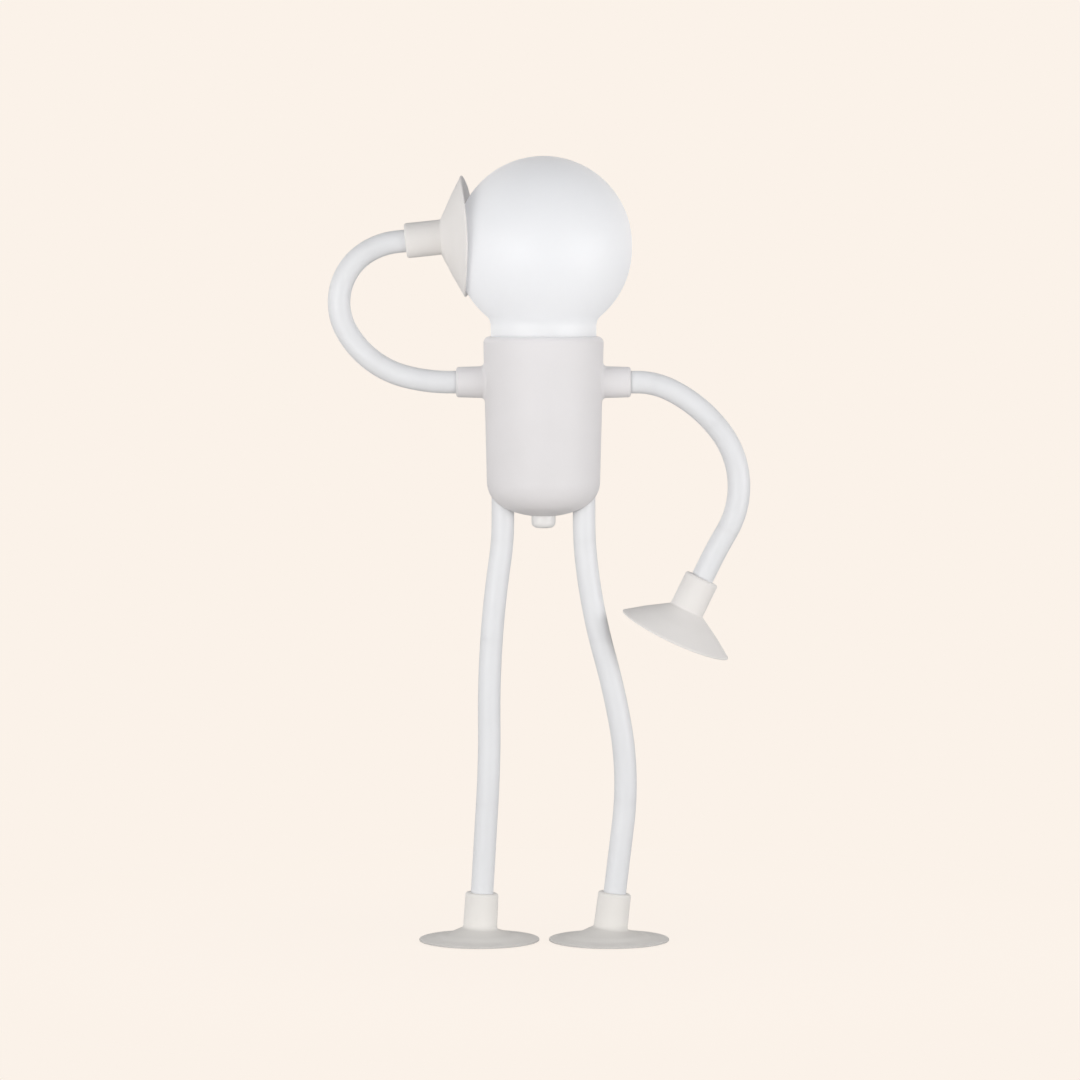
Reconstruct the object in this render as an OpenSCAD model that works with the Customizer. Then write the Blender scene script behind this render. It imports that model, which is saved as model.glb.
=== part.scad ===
// Bendable-figure night light.
// A milky globe head sits on a cup-shaped torso. Two arms and two legs of sleeved
// bending wire end in suction cups, and a push button hangs under the torso.
// Millimetres. +Z is up, the front faces -Y, the floor is Z = 0 and the torso axis is X = Y = 0.

/* [Globe] */
// Outer diameter of the globe
globe_d = 58.6; // [57:0.2:60]
// Straight band between the two half spheres
globe_band = 1.2; // [0.6:0.2:3]
// Wall of the globe
globe_wall = 1.4; // [1.2:0.1:1.8]
// Height of the neck that shows above the torso
neck_show = 5.6; // [5:0.1:6.4]
// Fillet between globe and neck
neck_fillet = 4; // [2:0.1:5]
// Gap between the neck and the torso mouth
neck_gap = 0.3; // [0.2:0.05:0.5]

/* [Torso] */
// Height of the torso's underside above the floor
torso_lift = 141.9; // [139:0.1:149]
// Height of the torso
torso_h = 59.8; // [59.2:0.1:65]
// Diameter at the top
torso_top_d = 40; // [39.6:0.1:41]
// Inward lean of the side going down, in degrees
torso_taper = 1.4; // [0.8:0.1:1.6]
// Rounding of the bottom edge
torso_corner = 10; // [8:0.1:11]
// Rise of the domed underside towards that edge, in degrees
torso_slope = 24; // [20:0.5:25]
// Rounding of the top edge
torso_rim = 2.1; // [1:0.1:2.1]
// Wall of the torso
torso_wall = 2.2; // [2:0.1:2.4]

/* [Limbs] */
// Diameter of the limb sleeve
sleeve_d = 7.5; // [7:0.1:7.8]
// Diameter of the bending wire
wire_d = 3; // [2.4:0.1:3.6]
// Gap round the wire in its sleeve
wire_gap = 0.05; // [0.05:0.05:0.2]
// Gap between two links where a limb bends
bend_gap = 0.3; // [0.25:0.05:0.4]
// Gap round a sleeve in its socket
socket_gap = 0.1; // [0.05:0.05:0.2]
// Straight stub between a socket mouth and the first bend
stub_len = 2; // [2:0.1:3]

/* [Shoulders] */
// Arm axis below the torso top
shoulder_drop = 15.2; // [14.5:0.1:17]
// Outer diameter of the shoulder collar
collar_d = 10.2; // [9.8:0.1:11]
// Collar mouth in from the globe's side
collar_inset = 0.3; // [0:0.1:2]
// Fillet between collar and torso
collar_fillet = 3; // [2:0.1:3.4]
// Rounding of the collar mouth
collar_round = 0.5; // [0.3:0.1:0.6]

/* [Left arm] */
// Turn of the run out of the collar, in degrees
left_out_angle = -14.5; // [-18:0.5:-11]
// Rising run
left_rise_len = 25.4; // [23:0.1:27]
// Turn of the rising run
left_rise_angle = -46.4; // [-50:0.1:-42]
// Turn of the tight loop over the top
left_loop_angle = -86.1; // [-90:0.1:-82]
// Last bend before the hand
left_reach_len = 11; // [9:0.1:12]
// Straight before the hand
left_last_len = 0.9; // [0.5:0.1:2]
// Heading of the left cup above level, in degrees
left_hand_angle = 2; // [1:0.5:4]
// Cup axis above the globe's lower centre
left_hand_rise = 4.9; // [4.4:0.1:5.6]
// Clearance between the cup's lip and the globe
left_hand_clear = 1; // [0.8:0.1:1.4]

/* [Right arm] */
// Turn of the run out of the collar, in degrees
right_out_angle = -26.3; // [-29:0.1:-23]
// Falling run
right_fall_len = 22.1; // [20:0.1:24]
// Turn of the falling run
right_fall_angle = -27.1; // [-30:0.1:-24]
// Turn of the long bow down to the hand
right_bow_angle = -67; // [-70:0.5:-64]
// Last bend before the hand
right_reach_len = 12; // [10:0.1:13]
// Straight before the hand
right_last_len = 3.3; // [2:0.1:5]
// Hand wrist out from the torso axis
right_hand_out = 53.7; // [52.5:0.1:56]
// Hand wrist below the shoulder
right_hand_drop = 63.4; // [61:0.1:65]
// Heading of the right wrist, in degrees
right_hand_angle = -116; // [-118:0.5:-112]

/* [Legs] */
// Leg axis in from the torso's side
hip_inset = 5.04; // [4.8:0.01:5.3]
// First bend of a leg below the torso
hip_gap = 1.3; // [1.3:0.1:2.5]
// Length of sleeve held in the hip
leg_grip = 11.2; // [10.2:0.1:11.5]
// Length of the hip run
hip_len = 13.5; // [12:0.1:15]
// Left hip turn, in degrees
left_hip_angle = -8.3; // [-9.5:0.1:-7.5]
// Left thigh length
left_thigh_len = 54; // [50:0.5:56]
// Left thigh turn
left_thigh_angle = 8.9; // [8:0.1:9.2]
// Left shin bend length
left_shin_len = 26; // [20:0.5:28]
// Left shin turn
left_shin_angle = -3.9; // [-4.6:0.1:-3.4]
// Right hip turn
right_hip_angle = 6.3; // [5.8:0.1:7]
// Right upper thigh length
right_thigh_len = 32; // [30:0.5:33]
// Right upper thigh turn
right_thigh_angle = 9.2; // [8.8:0.1:10]
// Right lower thigh length
right_knee_len = 23.5; // [22:0.5:25]
// Right lower thigh turn
right_knee_angle = -5.2; // [-5.6:0.1:-4.4]
// Right shin bend length
right_shin_len = 34; // [31:0.5:36]
// Right shin turn
right_shin_angle = -17.1; // [-17.6:0.1:-16.4]

/* [Suction cups] */
// Diameter of the cup neck
cup_neck_d = 11.6; // [11.2:0.1:12.4]
// Length of the hand cup neck
cup_neck_h = 11.8; // [11.5:0.1:13]
// Depth of the sleeve in the cup neck
cup_grip = 10; // [9:0.1:10.2]
// Left hand cup diameter
left_cup_d = 40.2; // [39:0.1:42]
// Left hand cup height
left_cup_h = 7.8; // [7.4:0.1:9]
// Turn of the left cup against its neck, in degrees
left_cup_angle = -4; // [-5:0.5:-2]
// Right hand cup diameter
right_cup_d = 38.6; // [38:0.1:39.4]
// Right hand cup height
right_cup_h = 9.3; // [8.6:0.1:9.8]
// Turn of the right cup against its neck
right_cup_angle = 1.5; // [1:0.5:3]
// Lip width of a cup
cup_lip = 0.8; // [0.7:0.1:1.2]
// Thickness of the hand cup's wall
cup_wall = 1.7; // [1.5:0.1:2]
// Gap between the two feet
foot_gap = 3.2; // [2.4:0.1:4]
// Height of a foot from floor to neck mouth
foot_h = 16; // [15.6:0.1:17]
// Thickness of the pressed foot brim
foot_brim = 0.9; // [0.8:0.05:1.2]
// Diameter of the cone round a foot's neck
foot_cone_d = 23.2; // [21:0.1:25]
// Height of that cone
foot_cone_h = 4.5; // [4:0.1:5]
// Depth of the hollow under a foot
foot_hollow = 1.8; // [1.4:0.1:2]

/* [Button] */
// Diameter of the push button
button_d = 8; // [7.4:0.1:8.6]
// Button reach below the torso
button_reach = 3.9; // [3.5:0.1:5]
// Rounding of the button end
button_round = 1.4; // [0.8:0.1:2]
// Gap round the button
button_gap = 0.3; // [0.25:0.05:0.4]
// Travel of the button
button_travel = 1; // [0.6:0.1:1.1]

/* [Power] */
// Underside of the control board above the torso underside
board_rise = 10.1; // [10:0.1:10.4]
// Thickness of both boards
board_t = 1.2; // [1:0.1:1.3]
// Room for the board's parts under the cell
part_room = 2.4; // [2:0.1:3]
// Underside of the light tray below the torso top
tray_drop = 9.1; // [8.9:0.1:9.2]
// Thickness of the light tray
tray_t = 1.6; // [1.4:0.1:1.8]
// Number of lamps on the light board's ring
led_count = 8; // [6:1:10]

/* [Hidden] */
$fn = 96;
hair = 0.02;
band_half = 0.3;
fillet_bite = 0.004;
over = 1;
globe_r = globe_d / 2;
torso_top = torso_lift + torso_h;
sleeve_r = sleeve_d / 2;
wire_r = wire_d / 2;
bore_r = wire_r + wire_gap;
socket_r = sleeve_r + socket_gap;
socket_wall = 1.75;
boss_r = socket_r + socket_wall;
dome_flat = 0.5;
corner_trim = torso_corner * tan((90 - torso_taper - torso_slope) / 2);
dome_x = (torso_r(torso_lift) / cos(torso_slope) + dome_flat - corner_trim) / (1 + 1 / cos(torso_slope));
dome_r = (dome_x - dome_flat) / tan(torso_slope / 2);
cup_neck_r = cup_neck_d / 2;
neck_round = 0.6;
root_step = 0.4;
hollow_root_r = cup_neck_r - neck_round;
foot_step = 0.8;
foot_cone_foot = 4;
sole_w = 6;
collar_r = collar_d / 2;
shoulder_z = torso_top - shoulder_drop;
tray_z = torso_top - tray_drop;
tray_top = tray_z + tray_t;
mouth_r = torso_top_d / 2 - torso_wall;
neck_r = mouth_r - neck_gap;
globe_low_z = torso_top + neck_show + sqrt(pow(globe_r, 2) - pow(neck_r, 2));
board_z = torso_lift + board_rise;
board_top = board_z + board_t;

// Light tray and light board
fit_gap = 0.2;
seat_gap = 0.1;
tray_wall = 1.4;
tray_collar_r = neck_r - globe_wall - seat_gap;
tray_collar_h = 6.4;
bead_r = 0.4;
bead_rise = 3.4;
bead_z = tray_top + bead_rise;
bead_slack = 0.05;
led_board_r = tray_collar_r - tray_wall - fit_gap;
led_size = [2.8, 3.5, 0.8];
tray_boss_r = 2.1;
tray_boss_inset = 5.4;
tray_boss_ring = mouth_r - tray_boss_inset;
tray_boss_h = 8.6;
tray_boss_angles = [45, 135, 270];
led_ring_inset = 4.8;
led_ring_r = tray_boss_ring - led_ring_inset;
rib_t = 2;
screw_r = 1;
screw_head_r = 1.8;
screw_head_h = 1.3;
screw_len = 7;
thread_slack = 0.05;

// Battery cell with its cradle, straps and leads
cradle_wall = 0.8;
cradle_slack = 0.15;
strap_t = 0.2;
strap_w = 4;
cradle_gap = 0.35;
cradle_r = tray_boss_ring - tray_boss_r - cradle_gap;
cradle_low = board_top + part_room;
cell_r = cradle_r - cradle_wall - cradle_slack;
cell_low = cradle_low + cradle_wall + strap_t;
cell_top = tray_z - cradle_wall - strap_t;
lead_r = 0.6;
lead_out = 0.9;
lead_ring = tray_boss_ring + lead_out;
led_lead_angle = 60;
cell_lead_angle = -68;
led_lead_at = lead_ring * dir(led_lead_angle);
cell_lead_at = lead_ring * dir(cell_lead_angle);
lead_hole_r = lead_r + fit_gap;

// Wire clamps, and the arm sockets that end at them
anchor_t = 2.5;
anchor_gap = 0.75;
arm_anchor_r = 4.4;
arm_seat = cradle_r + anchor_gap + anchor_t;
collar_reach = globe_r - collar_inset;
arm_grip = collar_reach - arm_seat;
hip_x = torso_r(torso_lift) - hip_inset;
leg_anchor_r = torso_r(torso_lift + leg_grip) - torso_wall - fit_gap - hip_x;

// Control board, switch and charging socket
board_gap = 0.5;
board_edge = 1.6;
board_w = 2 * (hip_x - boss_r - board_gap);
board_l = 2 * sqrt(pow(torso_r(board_z) - torso_wall - board_edge, 2) - pow(board_w / 2, 2));
post_r = 2.2;
post_inset = [2.4, 4, 6];
post_x = board_w / 2 - post_inset[0];
post_y = [post_inset[1] - board_l / 2, board_l / 2 - post_inset[2]];
post_spots = [for (x = [-post_x, post_x], y = post_y) [x, y]];
tongue_w = 11;
tongue_back = 2.95;
usb_w = 8.94;
usb_h = 3.26;
usb_wall = 0.3;
usb_len = 7.3;
usb_inset = 0.6;
usb_slot_gap = 0.25;
usb_tongue = [6.7, 0.7, 4.5];
usb_z = board_top + usb_h / 2;
usb_mouth_y = torso_r(usb_z) - usb_inset;
tongue_y = usb_mouth_y - tongue_back;
switch_w = 6;
switch_h = 3.5;
plunger_r = 1.7;
plunger_gap = 0.3;
plunger_hold = 1;
plunger_slack = 0.2;
plunger_show = button_travel + plunger_slack;
chip_size = [5, 4, 1.5];
chip_at = [0, post_y[0] + screw_head_r + fit_gap + chip_size[1] / 2];
coil_size = [4, 4, 1.6];
coil_at = [0, 2];
cap_size = [1.6, 1.6, 0.8];
cap_spots = [[-4.6, 0.5], [4.6, 0.5], [-4.6, -3.5], [4.6, -3.5]];
flange_w = 1.6;
flange_lift = 0.6;
flange_r = button_d / 2 + flange_w;
flange_t = 1;
stem_r = 2.5;

// Radius of the torso's outside at a height
function torso_r(z) = torso_top_d / 2 - (torso_top - z) * tan(torso_taper);

// Plane vectors
function unit(v) = v / norm(v);
function cross2(a, b) = a[0] * b[1] - a[1] * b[0];
function dir(a) = [cos(a), sin(a)];

// A limb path is a pose [x, z, heading] and a list of runs [length, turn in degrees].
// chord() is the step along a run of unit radius, and stride() the step along a whole run.
function chord(h, t) = [sin(h + t) - sin(h), cos(h) - cos(h + t)];
function bend_r(run) = run[0] / (run[1] * PI / 180);
function stride(h, run) = run[1] == 0 ? run[0] * dir(h) : bend_r(run) * chord(h, run[1]);
function spot(pose) = [pose[0], pose[1]];
function after(pose, run) = concat(spot(pose) + stride(pose[2], run), [pose[2] + run[1]]);
function walk(pose, runs, n) = n == 0 ? pose : after(walk(pose, runs, n - 1), runs[n - 1]);
function finish(pose, runs) = walk(pose, runs, len(runs));

// Runs of an arm that starts at a pose and ends at a goal pose. The lengths of its first run
// and of its long bend are solved, so the hand keeps its place when another run is changed.
function arm_runs(start, goal, out_angle, mid, bend_angle, reach_len, last_len) =
    let (
        mid_h = start[2] + out_angle,
        bend_h = mid_h + mid[1],
        top_h = bend_h + bend_angle,
        reach = [reach_len, goal[2] - top_h],
        last = [last_len, 0],
        fixed = stride(mid_h, mid) + stride(top_h, reach) + stride(goal[2], last),
        gap = spot(goal) - spot(start) - fixed,
        u = stride(start[2], [1, out_angle]),
        v = stride(bend_h, [1, bend_angle]),
        out = [cross2(gap, v) / cross2(u, v), out_angle],
        bend = [cross2(u, gap) / cross2(u, v), bend_angle]
    )
    [out, mid, half(bend), half(bend), reach, last];
function half(run) = run / 2;

// Runs of a leg, with the last straight solved so that the foot stands on the floor
function leg_runs(start, runs) =
    let (shin = finish(start, runs))
    concat(runs, [[(shin[1] - ankle_z) / -sin(shin[2]), 0]]);

// Place where the leg that ends at a pose would meet the floor
function sole(pose) = after(pose, [pose[1] / -sin(pose[2]), 0]);

// Left arm: the cup's lip clears the globe by left_hand_clear
left_lip_r = left_cup_d / 2 - cup_lip - left_hand_clear - left_hand_rise;
left_hand_far = sqrt(pow(globe_r, 2) - pow(left_lip_r, 2));
left_rim = [0, globe_low_z] + left_hand_rise * dir(left_hand_angle + 90) - left_hand_far * dir(left_hand_angle);
left_root = left_rim - left_cup_h * dir(left_hand_angle);
left_neck_angle = left_hand_angle - left_cup_angle;
left_wrist = concat(left_root - (cup_neck_h + stub_len) * dir(left_neck_angle), [left_neck_angle]);
left_shoulder = [-collar_reach - stub_len, shoulder_z, 180];
left_arm = arm_runs(
    left_shoulder,
    left_wrist,
    left_out_angle,
    [left_rise_len, left_rise_angle],
    left_loop_angle,
    left_reach_len,
    left_last_len
);

// Right arm
right_shoulder = [collar_reach + stub_len, shoulder_z, 0];
right_wrist = [right_hand_out, shoulder_z - right_hand_drop, right_hand_angle];
right_arm = arm_runs(
    right_shoulder,
    right_wrist,
    right_out_angle,
    [right_fall_len, right_fall_angle],
    right_bow_angle,
    right_reach_len,
    right_last_len
);

// Legs
hip_z = torso_lift - hip_gap;
ankle_z = foot_h + stub_len;
left_hip = [-hip_x, hip_z, -90];
left_leg = leg_runs(
    left_hip,
    [
        [hip_len, left_hip_angle],
        [left_thigh_len, left_thigh_angle],
        [left_shin_len, left_shin_angle]
    ]
);
right_hip = [hip_x, hip_z, -90];
right_leg = leg_runs(
    right_hip,
    [
        [hip_len, right_hip_angle],
        [right_thigh_len, right_thigh_angle],
        [right_knee_len, right_knee_angle],
        [right_shin_len, right_shin_angle]
    ]
);
foot_d = sole(finish(right_hip, right_leg))[0] - sole(finish(left_hip, left_leg))[0] - foot_gap;

// Polygon with rounded corners. Each corner is [x, y, radius], and the list runs anticlockwise.
module soft_polygon(corners) {
    n = len(corners);
    at = [for (c = corners) [c[0], c[1]]];
    back = [for (i = [0:n - 1]) unit(at[(i + n - 1) % n] - at[i])];
    ahead = [for (i = [0:n - 1]) unit(at[(i + 1) % n] - at[i])];
    half_angle = [for (i = [0:n - 1]) acos(back[i] * ahead[i]) / 2];
    trim = [for (i = [0:n - 1]) corners[i][2] / tan(half_angle[i])];
    difference() {
        union() {
            polygon([
                for (i = [0:n - 1]) each corners[i][2] > 0
                    ? [at[i] + trim[i] * back[i], at[i] + trim[i] * ahead[i]]
                    : [at[i]]
            ]);
            for (i = [0:n - 1]) {
                if (corners[i][2] > 0 && cross2(back[i], ahead[i]) < 0) {
                    corner_slice(at[i], back[i], ahead[i], trim[i], corners[i][2], half_angle[i]);
                }
            }
        }
        for (i = [0:n - 1]) {
            if (corners[i][2] > 0 && cross2(back[i], ahead[i]) > 0) {
                corner_slice(at[i], back[i], ahead[i], trim[i], corners[i][2], half_angle[i]);
            }
        }
    }
}

// Slice of a corner circle between its two touching points
module corner_slice(at, back, ahead, trim, r, half_angle) {
    inward = unit(back + ahead);
    ends = [at + trim * back, at + trim * ahead];
    intersection() {
        translate(at + inward * r / sin(half_angle)) circle(r = r);
        polygon([ends[0], at, ends[1], ends[1] + hair * inward, ends[0] + hair * inward]);
    }
}

// Places children with their +X along a pose's heading
module at_pose(pose) {
    translate([pose[0], 0, pose[1]]) rotate([0, -pose[2], 0]) children();
}

// Round rod along one run
module rod(pose, run, r) {
    s = sign(run[1]);
    at_pose(pose) {
        if (run[1] == 0) {
            rotate([0, 90, 0]) cylinder(h = run[0], r = r);
        } else {
            translate([0, 0, bend_r(run)])
                rotate([0, 90 * s, 0])
                    rotate([90 * s, 0, 0])
                        rotate_extrude(angle = abs(run[1])) translate([abs(bend_r(run)), 0]) circle(r = r);
        }
    }
}

// Round rod along runs first to last. Each run stops a hair short of the next,
// and a thin band over the meeting place makes them one solid.
module rods(pose, runs, first, last, r) {
    for (i = [first:last]) {
        trim = hair / runs[i][0];
        rod(after(walk(pose, runs, i), runs[i] * trim), runs[i] * (1 - 2 * trim), r);
        if (i > first) {
            at_pose(walk(pose, runs, i))
                rotate([0, 90, 0])
                    cylinder(h = 2 * band_half, r = r + hair, center = true);
        }
    }
}

// Half ball on the end of a link, with the next link's hollow turning round it
module ball_end(pose) {
    r = sleeve_r + hair;
    at_pose(pose)
        rotate([0, 90, 0])
            rotate_extrude() {
                quarter_disc(r);
                translate([0, -band_half]) square([r, band_half]);
            }
}

// Space that the ball of the link before needs
module ball_space(pose) {
    translate([pose[0], 0, pose[1]]) sphere(r = sleeve_r + bend_gap);
}

// One link of sleeve from run first to run last
module sleeve_link(pose, runs, first, last) {
    difference() {
        union() {
            rods(pose, runs, first, last, sleeve_r);
            ball_end(walk(pose, runs, last + 1));
        }
        rods(pose, runs, first, last, bore_r);
        ball_space(walk(pose, runs, first));
    }
}

// The wire inside that link
module wire_link(pose, runs, first, last) {
    difference() {
        rods(pose, runs, first, last, wire_r);
        ball_space(walk(pose, runs, first));
    }
}

// Sleeve held in a torso socket, up to the first bend
module root_sleeve(pose, grip) {
    difference() {
        union() {
            at_pose(pose) rotate([0, -90, 0]) cylinder(h = grip, r = sleeve_r);
            ball_end(pose);
        }
        at_pose(pose) rotate([0, -90, 0]) cylinder(h = grip + over, r = bore_r);
    }
}

// Plug that ends a limb inside its cup neck
module end_plug(pose) {
    difference() {
        at_pose(pose) rotate([0, 90, 0]) cylinder(h = stub_len + cup_grip, r = sleeve_r);
        ball_space(pose);
    }
}

// Suction cup of a hand on the wrist that ends at a pose. The soft cup turns by an angle against its neck.
module hand_cup(pose, d, h, angle) {
    root = after(pose, [stub_len + cup_neck_h, 0]);
    rim = after(after(root, [hair, angle]), [h, 0]);
    difference() {
        union() {
            at_pose(rim) rotate([0, -90, 0]) cup_cone(d / 2, h);
            at_pose(root) rotate([0, -90, 0]) cup_neck(-cup_wall / 2, cup_neck_h);
        }
        at_pose(pose) rotate([0, 90, 0]) cylinder(h = stub_len + cup_grip, r = socket_r);
    }
}

// Cone of a relaxed cup, with its rim on Z = 0
module cup_cone(rim_r, h) {
    rotate_extrude()
        difference() {
            soft_polygon([
                [0, 0, 0],
                [rim_r, 0, cup_lip / 4],
                [rim_r - cup_lip / 4, cup_lip, cup_lip / 4],
                [cup_neck_r - root_step, h, 0],
                [0, h, 0]
            ]);
            polygon([
                [0, -over],
                [rim_r - cup_lip, -over],
                [rim_r - cup_lip, 0],
                [hollow_root_r, h - cup_wall],
                [0, h - cup_wall]
            ]);
        }
}

// Neck of a cup from a low to a high end, with its mouth's edge rounded
module cup_neck(low, high) {
    rotate_extrude()
        soft_polygon([
            [0, low, 0],
            [cup_neck_r, low, 0],
            [cup_neck_r, high, neck_round],
            [0, high, 0]
        ]);
}

// Suction cup of a foot, pressed flat, with its neck leaning along the leg that ends at a pose
module foot_cup(pose) {
    neck_len = (pose[1] - foot_cone_h * 2 / 3) / -sin(pose[2]) - stub_len;
    difference() {
        union() {
            translate([sole(pose)[0], 0, 0])
                rotate_extrude()
                    soft_polygon([
                        [0, foot_hollow, 0],
                        [cup_neck_r - cup_wall, foot_hollow, 0],
                        [foot_d / 2 - sole_w, 0, 0],
                        [foot_d / 2, 0, foot_brim / 4],
                        [foot_d / 2, foot_brim, foot_brim / 2],
                        [foot_cone_d / 2, foot_brim, foot_cone_foot],
                        [cup_neck_r - foot_step, foot_cone_h, 0],
                        [0, foot_cone_h, 0]
                    ]);
            at_pose(after(pose, [stub_len, 0])) rotate([0, -90, 0]) cup_neck(-neck_len, 0);
        }
        at_pose(pose) rotate([0, 90, 0]) cylinder(h = stub_len + cup_grip, r = socket_r);
    }
}

// The globe with its neck as a solid, drawn in from the outside by an inset
module globe_solid(inset) {
    r = globe_r - inset;
    n = neck_r - inset;
    f = neck_fillet + inset;
    low = tray_top - globe_low_z - inset;
    centre = [n + f, -sqrt(pow(r + f, 2) - pow(n + f, 2))];
    touch = centre * (r - hair) / (r + f);
    translate([0, 0, globe_low_z]) {
        rotate_extrude() {
            translate([0, globe_band]) quarter_disc(r);
            square([r, globe_band]);
            mirror([0, 1]) quarter_disc(r);
        }
        rotate_extrude()
            difference() {
                polygon([[0, 0], touch, centre, [n, centre[1]], [n, low], [0, low]]);
                translate(centre) circle(r = f + fillet_bite);
            }
    }
}

module quarter_disc(r) {
    intersection() {
        circle(r = r);
        square(r);
    }
}

module globe() color("whitesmoke")
    difference() {
        globe_solid(0);
        globe_solid(globe_wall);
        rotate_extrude() translate([tray_collar_r, bead_z]) circle(r = bead_r + bead_slack);
    }

module light_tray() color("gainsboro")
    difference() {
        union() {
            translate([0, 0, tray_z]) cylinder(h = tray_t, r = torso_r(tray_z) - torso_wall - fit_gap);
            rotate_extrude() {
                translate([tray_collar_r - tray_wall, tray_z]) square([tray_wall, tray_t + tray_collar_h]);
                translate([tray_collar_r, bead_z]) circle(r = bead_r);
            }
        }
        tray_screw_holes();
        led_lead_holes();
    }

module tray_screw_spots() {
    for (a = tray_boss_angles) {
        rotate([0, 0, a]) translate([tray_boss_ring, 0, 0]) children();
    }
}

module tray_screw_holes() {
    tray_screw_spots()
        translate([0, 0, tray_top + board_t - screw_len - over])
            cylinder(h = screw_len + over, r = screw_r + thread_slack);
}

module led_lead_spots() {
    for (s = [-1, 1]) {
        translate([s * led_lead_at[0], led_lead_at[1], 0]) children();
    }
}

module led_lead_holes() {
    led_lead_spots() translate([0, 0, tray_z - over]) cylinder(h = tray_t + 2 * over, r = lead_hole_r);
}

module led_board() color("white")
    difference() {
        translate([0, 0, tray_top]) cylinder(h = board_t, r = led_board_r);
        tray_screw_holes();
    }

module led_chips() color("khaki") {
    translate([0, 0, tray_top + board_t]) {
        for (i = [0:led_count - 1]) {
            rotate([0, 0, 360 * i / led_count])
                translate([led_ring_r - led_size[0] / 2, -led_size[1] / 2, 0])
                    cube(led_size);
        }
        translate([-led_size[0] / 2, -led_size[1] / 2, 0]) cube(led_size);
    }
}

module screw() {
    cylinder(h = screw_head_h, r = screw_head_r);
    translate([0, 0, -screw_len]) cylinder(h = screw_len, r = screw_r);
}

module tray_screws() color("silver")
    tray_screw_spots() translate([0, 0, tray_top + board_t]) screw();

// Solid of the torso, drawn in from its outside by an inset
module torso_solid(inset, high) {
    side = torso_r(torso_lift) - inset;
    flat_end = dome_x - inset * tan(torso_slope / 2);
    edge_h = (side - flat_end + inset / tan(torso_slope)) / (1 / tan(torso_slope) - tan(torso_taper));
    rotate_extrude()
        soft_polygon([
            [0, torso_lift + inset, 0],
            [flat_end, torso_lift + inset, dome_r - inset],
            [side + edge_h * tan(torso_taper), torso_lift + edge_h, torso_corner - inset],
            [torso_r(high) - inset, high, inset > 0 ? 0 : torso_rim],
            [0, high, 0]
        ]);
}

// Sockets, posts and screw bosses that stand in the torso's hollow and run into its wall
module torso_fittings() {
    for (s = [-1, 1]) {
        translate([s * arm_seat, 0, shoulder_z])
            rotate([0, s * 90, 0])
                cylinder(h = collar_reach - arm_seat, r = boss_r);
        translate([s * hip_x, 0, torso_lift]) cylinder(h = leg_grip, r = boss_r);
    }
    for (p = post_spots) {
        translate([p[0], p[1], torso_lift]) cylinder(h = board_rise, r = post_r);
    }
    for (a = tray_boss_angles) {
        rotate([0, 0, a]) translate([tray_boss_ring, 0, tray_z - tray_boss_h]) {
            cylinder(h = tray_boss_h, r = tray_boss_r);
            translate([0, -rib_t / 2, 0]) cube([mouth_r + fit_gap - tray_boss_ring, rib_t, tray_boss_h]);
        }
    }
}

module collar() {
    edge = torso_r(shoulder_z);
    foot_r = collar_r + collar_fillet;
    foot_x = sqrt(pow(edge, 2) - pow(foot_r, 2)) - fit_gap;
    rotate([0, 90, 0])
        rotate_extrude()
            soft_polygon([
                [0, foot_x - torso_wall / 2, 0],
                [foot_r, foot_x - torso_wall / 2, 0],
                [foot_r, foot_x, 0],
                [collar_r, foot_x, collar_fillet - hair],
                [collar_r, collar_reach, collar_round],
                [0, collar_reach, 0]
            ]);
}

module torso_shell() color("linen")
    difference() {
        union() {
            torso_solid(0, torso_top);
            for (s = [0, 180]) {
                translate([0, 0, shoulder_z]) rotate([0, 0, s]) collar();
            }
        }
        difference() {
            torso_solid(torso_wall, torso_top + over);
            torso_fittings();
        }
        for (s = [-1, 1]) {
            translate([s * (arm_seat - over), 0, shoulder_z])
                rotate([0, s * 90, 0])
                    cylinder(h = arm_grip + 2 * over, r = socket_r);
            translate([s * hip_x, 0, torso_lift - over]) cylinder(h = leg_grip + 2 * over, r = socket_r);
        }
        translate([0, 0, torso_lift - over])
            cylinder(h = torso_wall + 2 * over, r = button_d / 2 + button_gap);
        tray_screw_holes();
        board_screw_holes();
        translate([0, usb_mouth_y + usb_inset + over, usb_z])
            rotate([90, 0, 0])
                linear_extrude(height = torso_wall + 2 * over)
                    stadium(usb_w + 2 * usb_slot_gap, usb_h + 2 * usb_slot_gap);
    }

// Flat-sided slot with round ends
module stadium(w, h) {
    square([w - h, h], center = true);
    for (s = [-1, 1]) {
        translate([s * (w - h) / 2, 0]) circle(r = h / 2);
    }
}

module cell_cradle() color("dimgray") {
    high = cell_top + strap_t;
    translate([0, 0, high]) cylinder(h = cradle_wall, r = cradle_r);
    translate([0, 0, cradle_low]) cylinder(h = cradle_wall, r = cradle_r);
    translate([0, 0, cradle_low])
        rotate_extrude(angle = 180)
            translate([cradle_r - cradle_wall, 0]) square([cradle_wall, high - cradle_low + cradle_wall]);
}

module battery_cell() color("steelblue")
    translate([0, 0, cell_low])
        rotate_extrude()
            soft_polygon([
                [0, 0, 0],
                [cell_r, 0, cradle_wall],
                [cell_r, cell_top - cell_low, cradle_wall],
                [0, cell_top - cell_low, 0]
            ]);

module cell_strap(s) {
    translate([s > 0 ? -strap_w / 2 : -cell_lead_at[0] - strap_w / 2, -strap_w / 2, 0])
        cube([cell_lead_at[0] + strap_w, strap_w, strap_t]);
    translate([s * cell_lead_at[0] - strap_w / 2, cell_lead_at[1] - lead_r, 0])
        cube([strap_w, strap_w / 2 - cell_lead_at[1] + lead_r, strap_t]);
}

module cell_straps() color("silver") {
    translate([0, 0, cell_top]) cell_strap(1);
    translate([0, 0, cell_low - strap_t]) cell_strap(-1);
}

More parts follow.
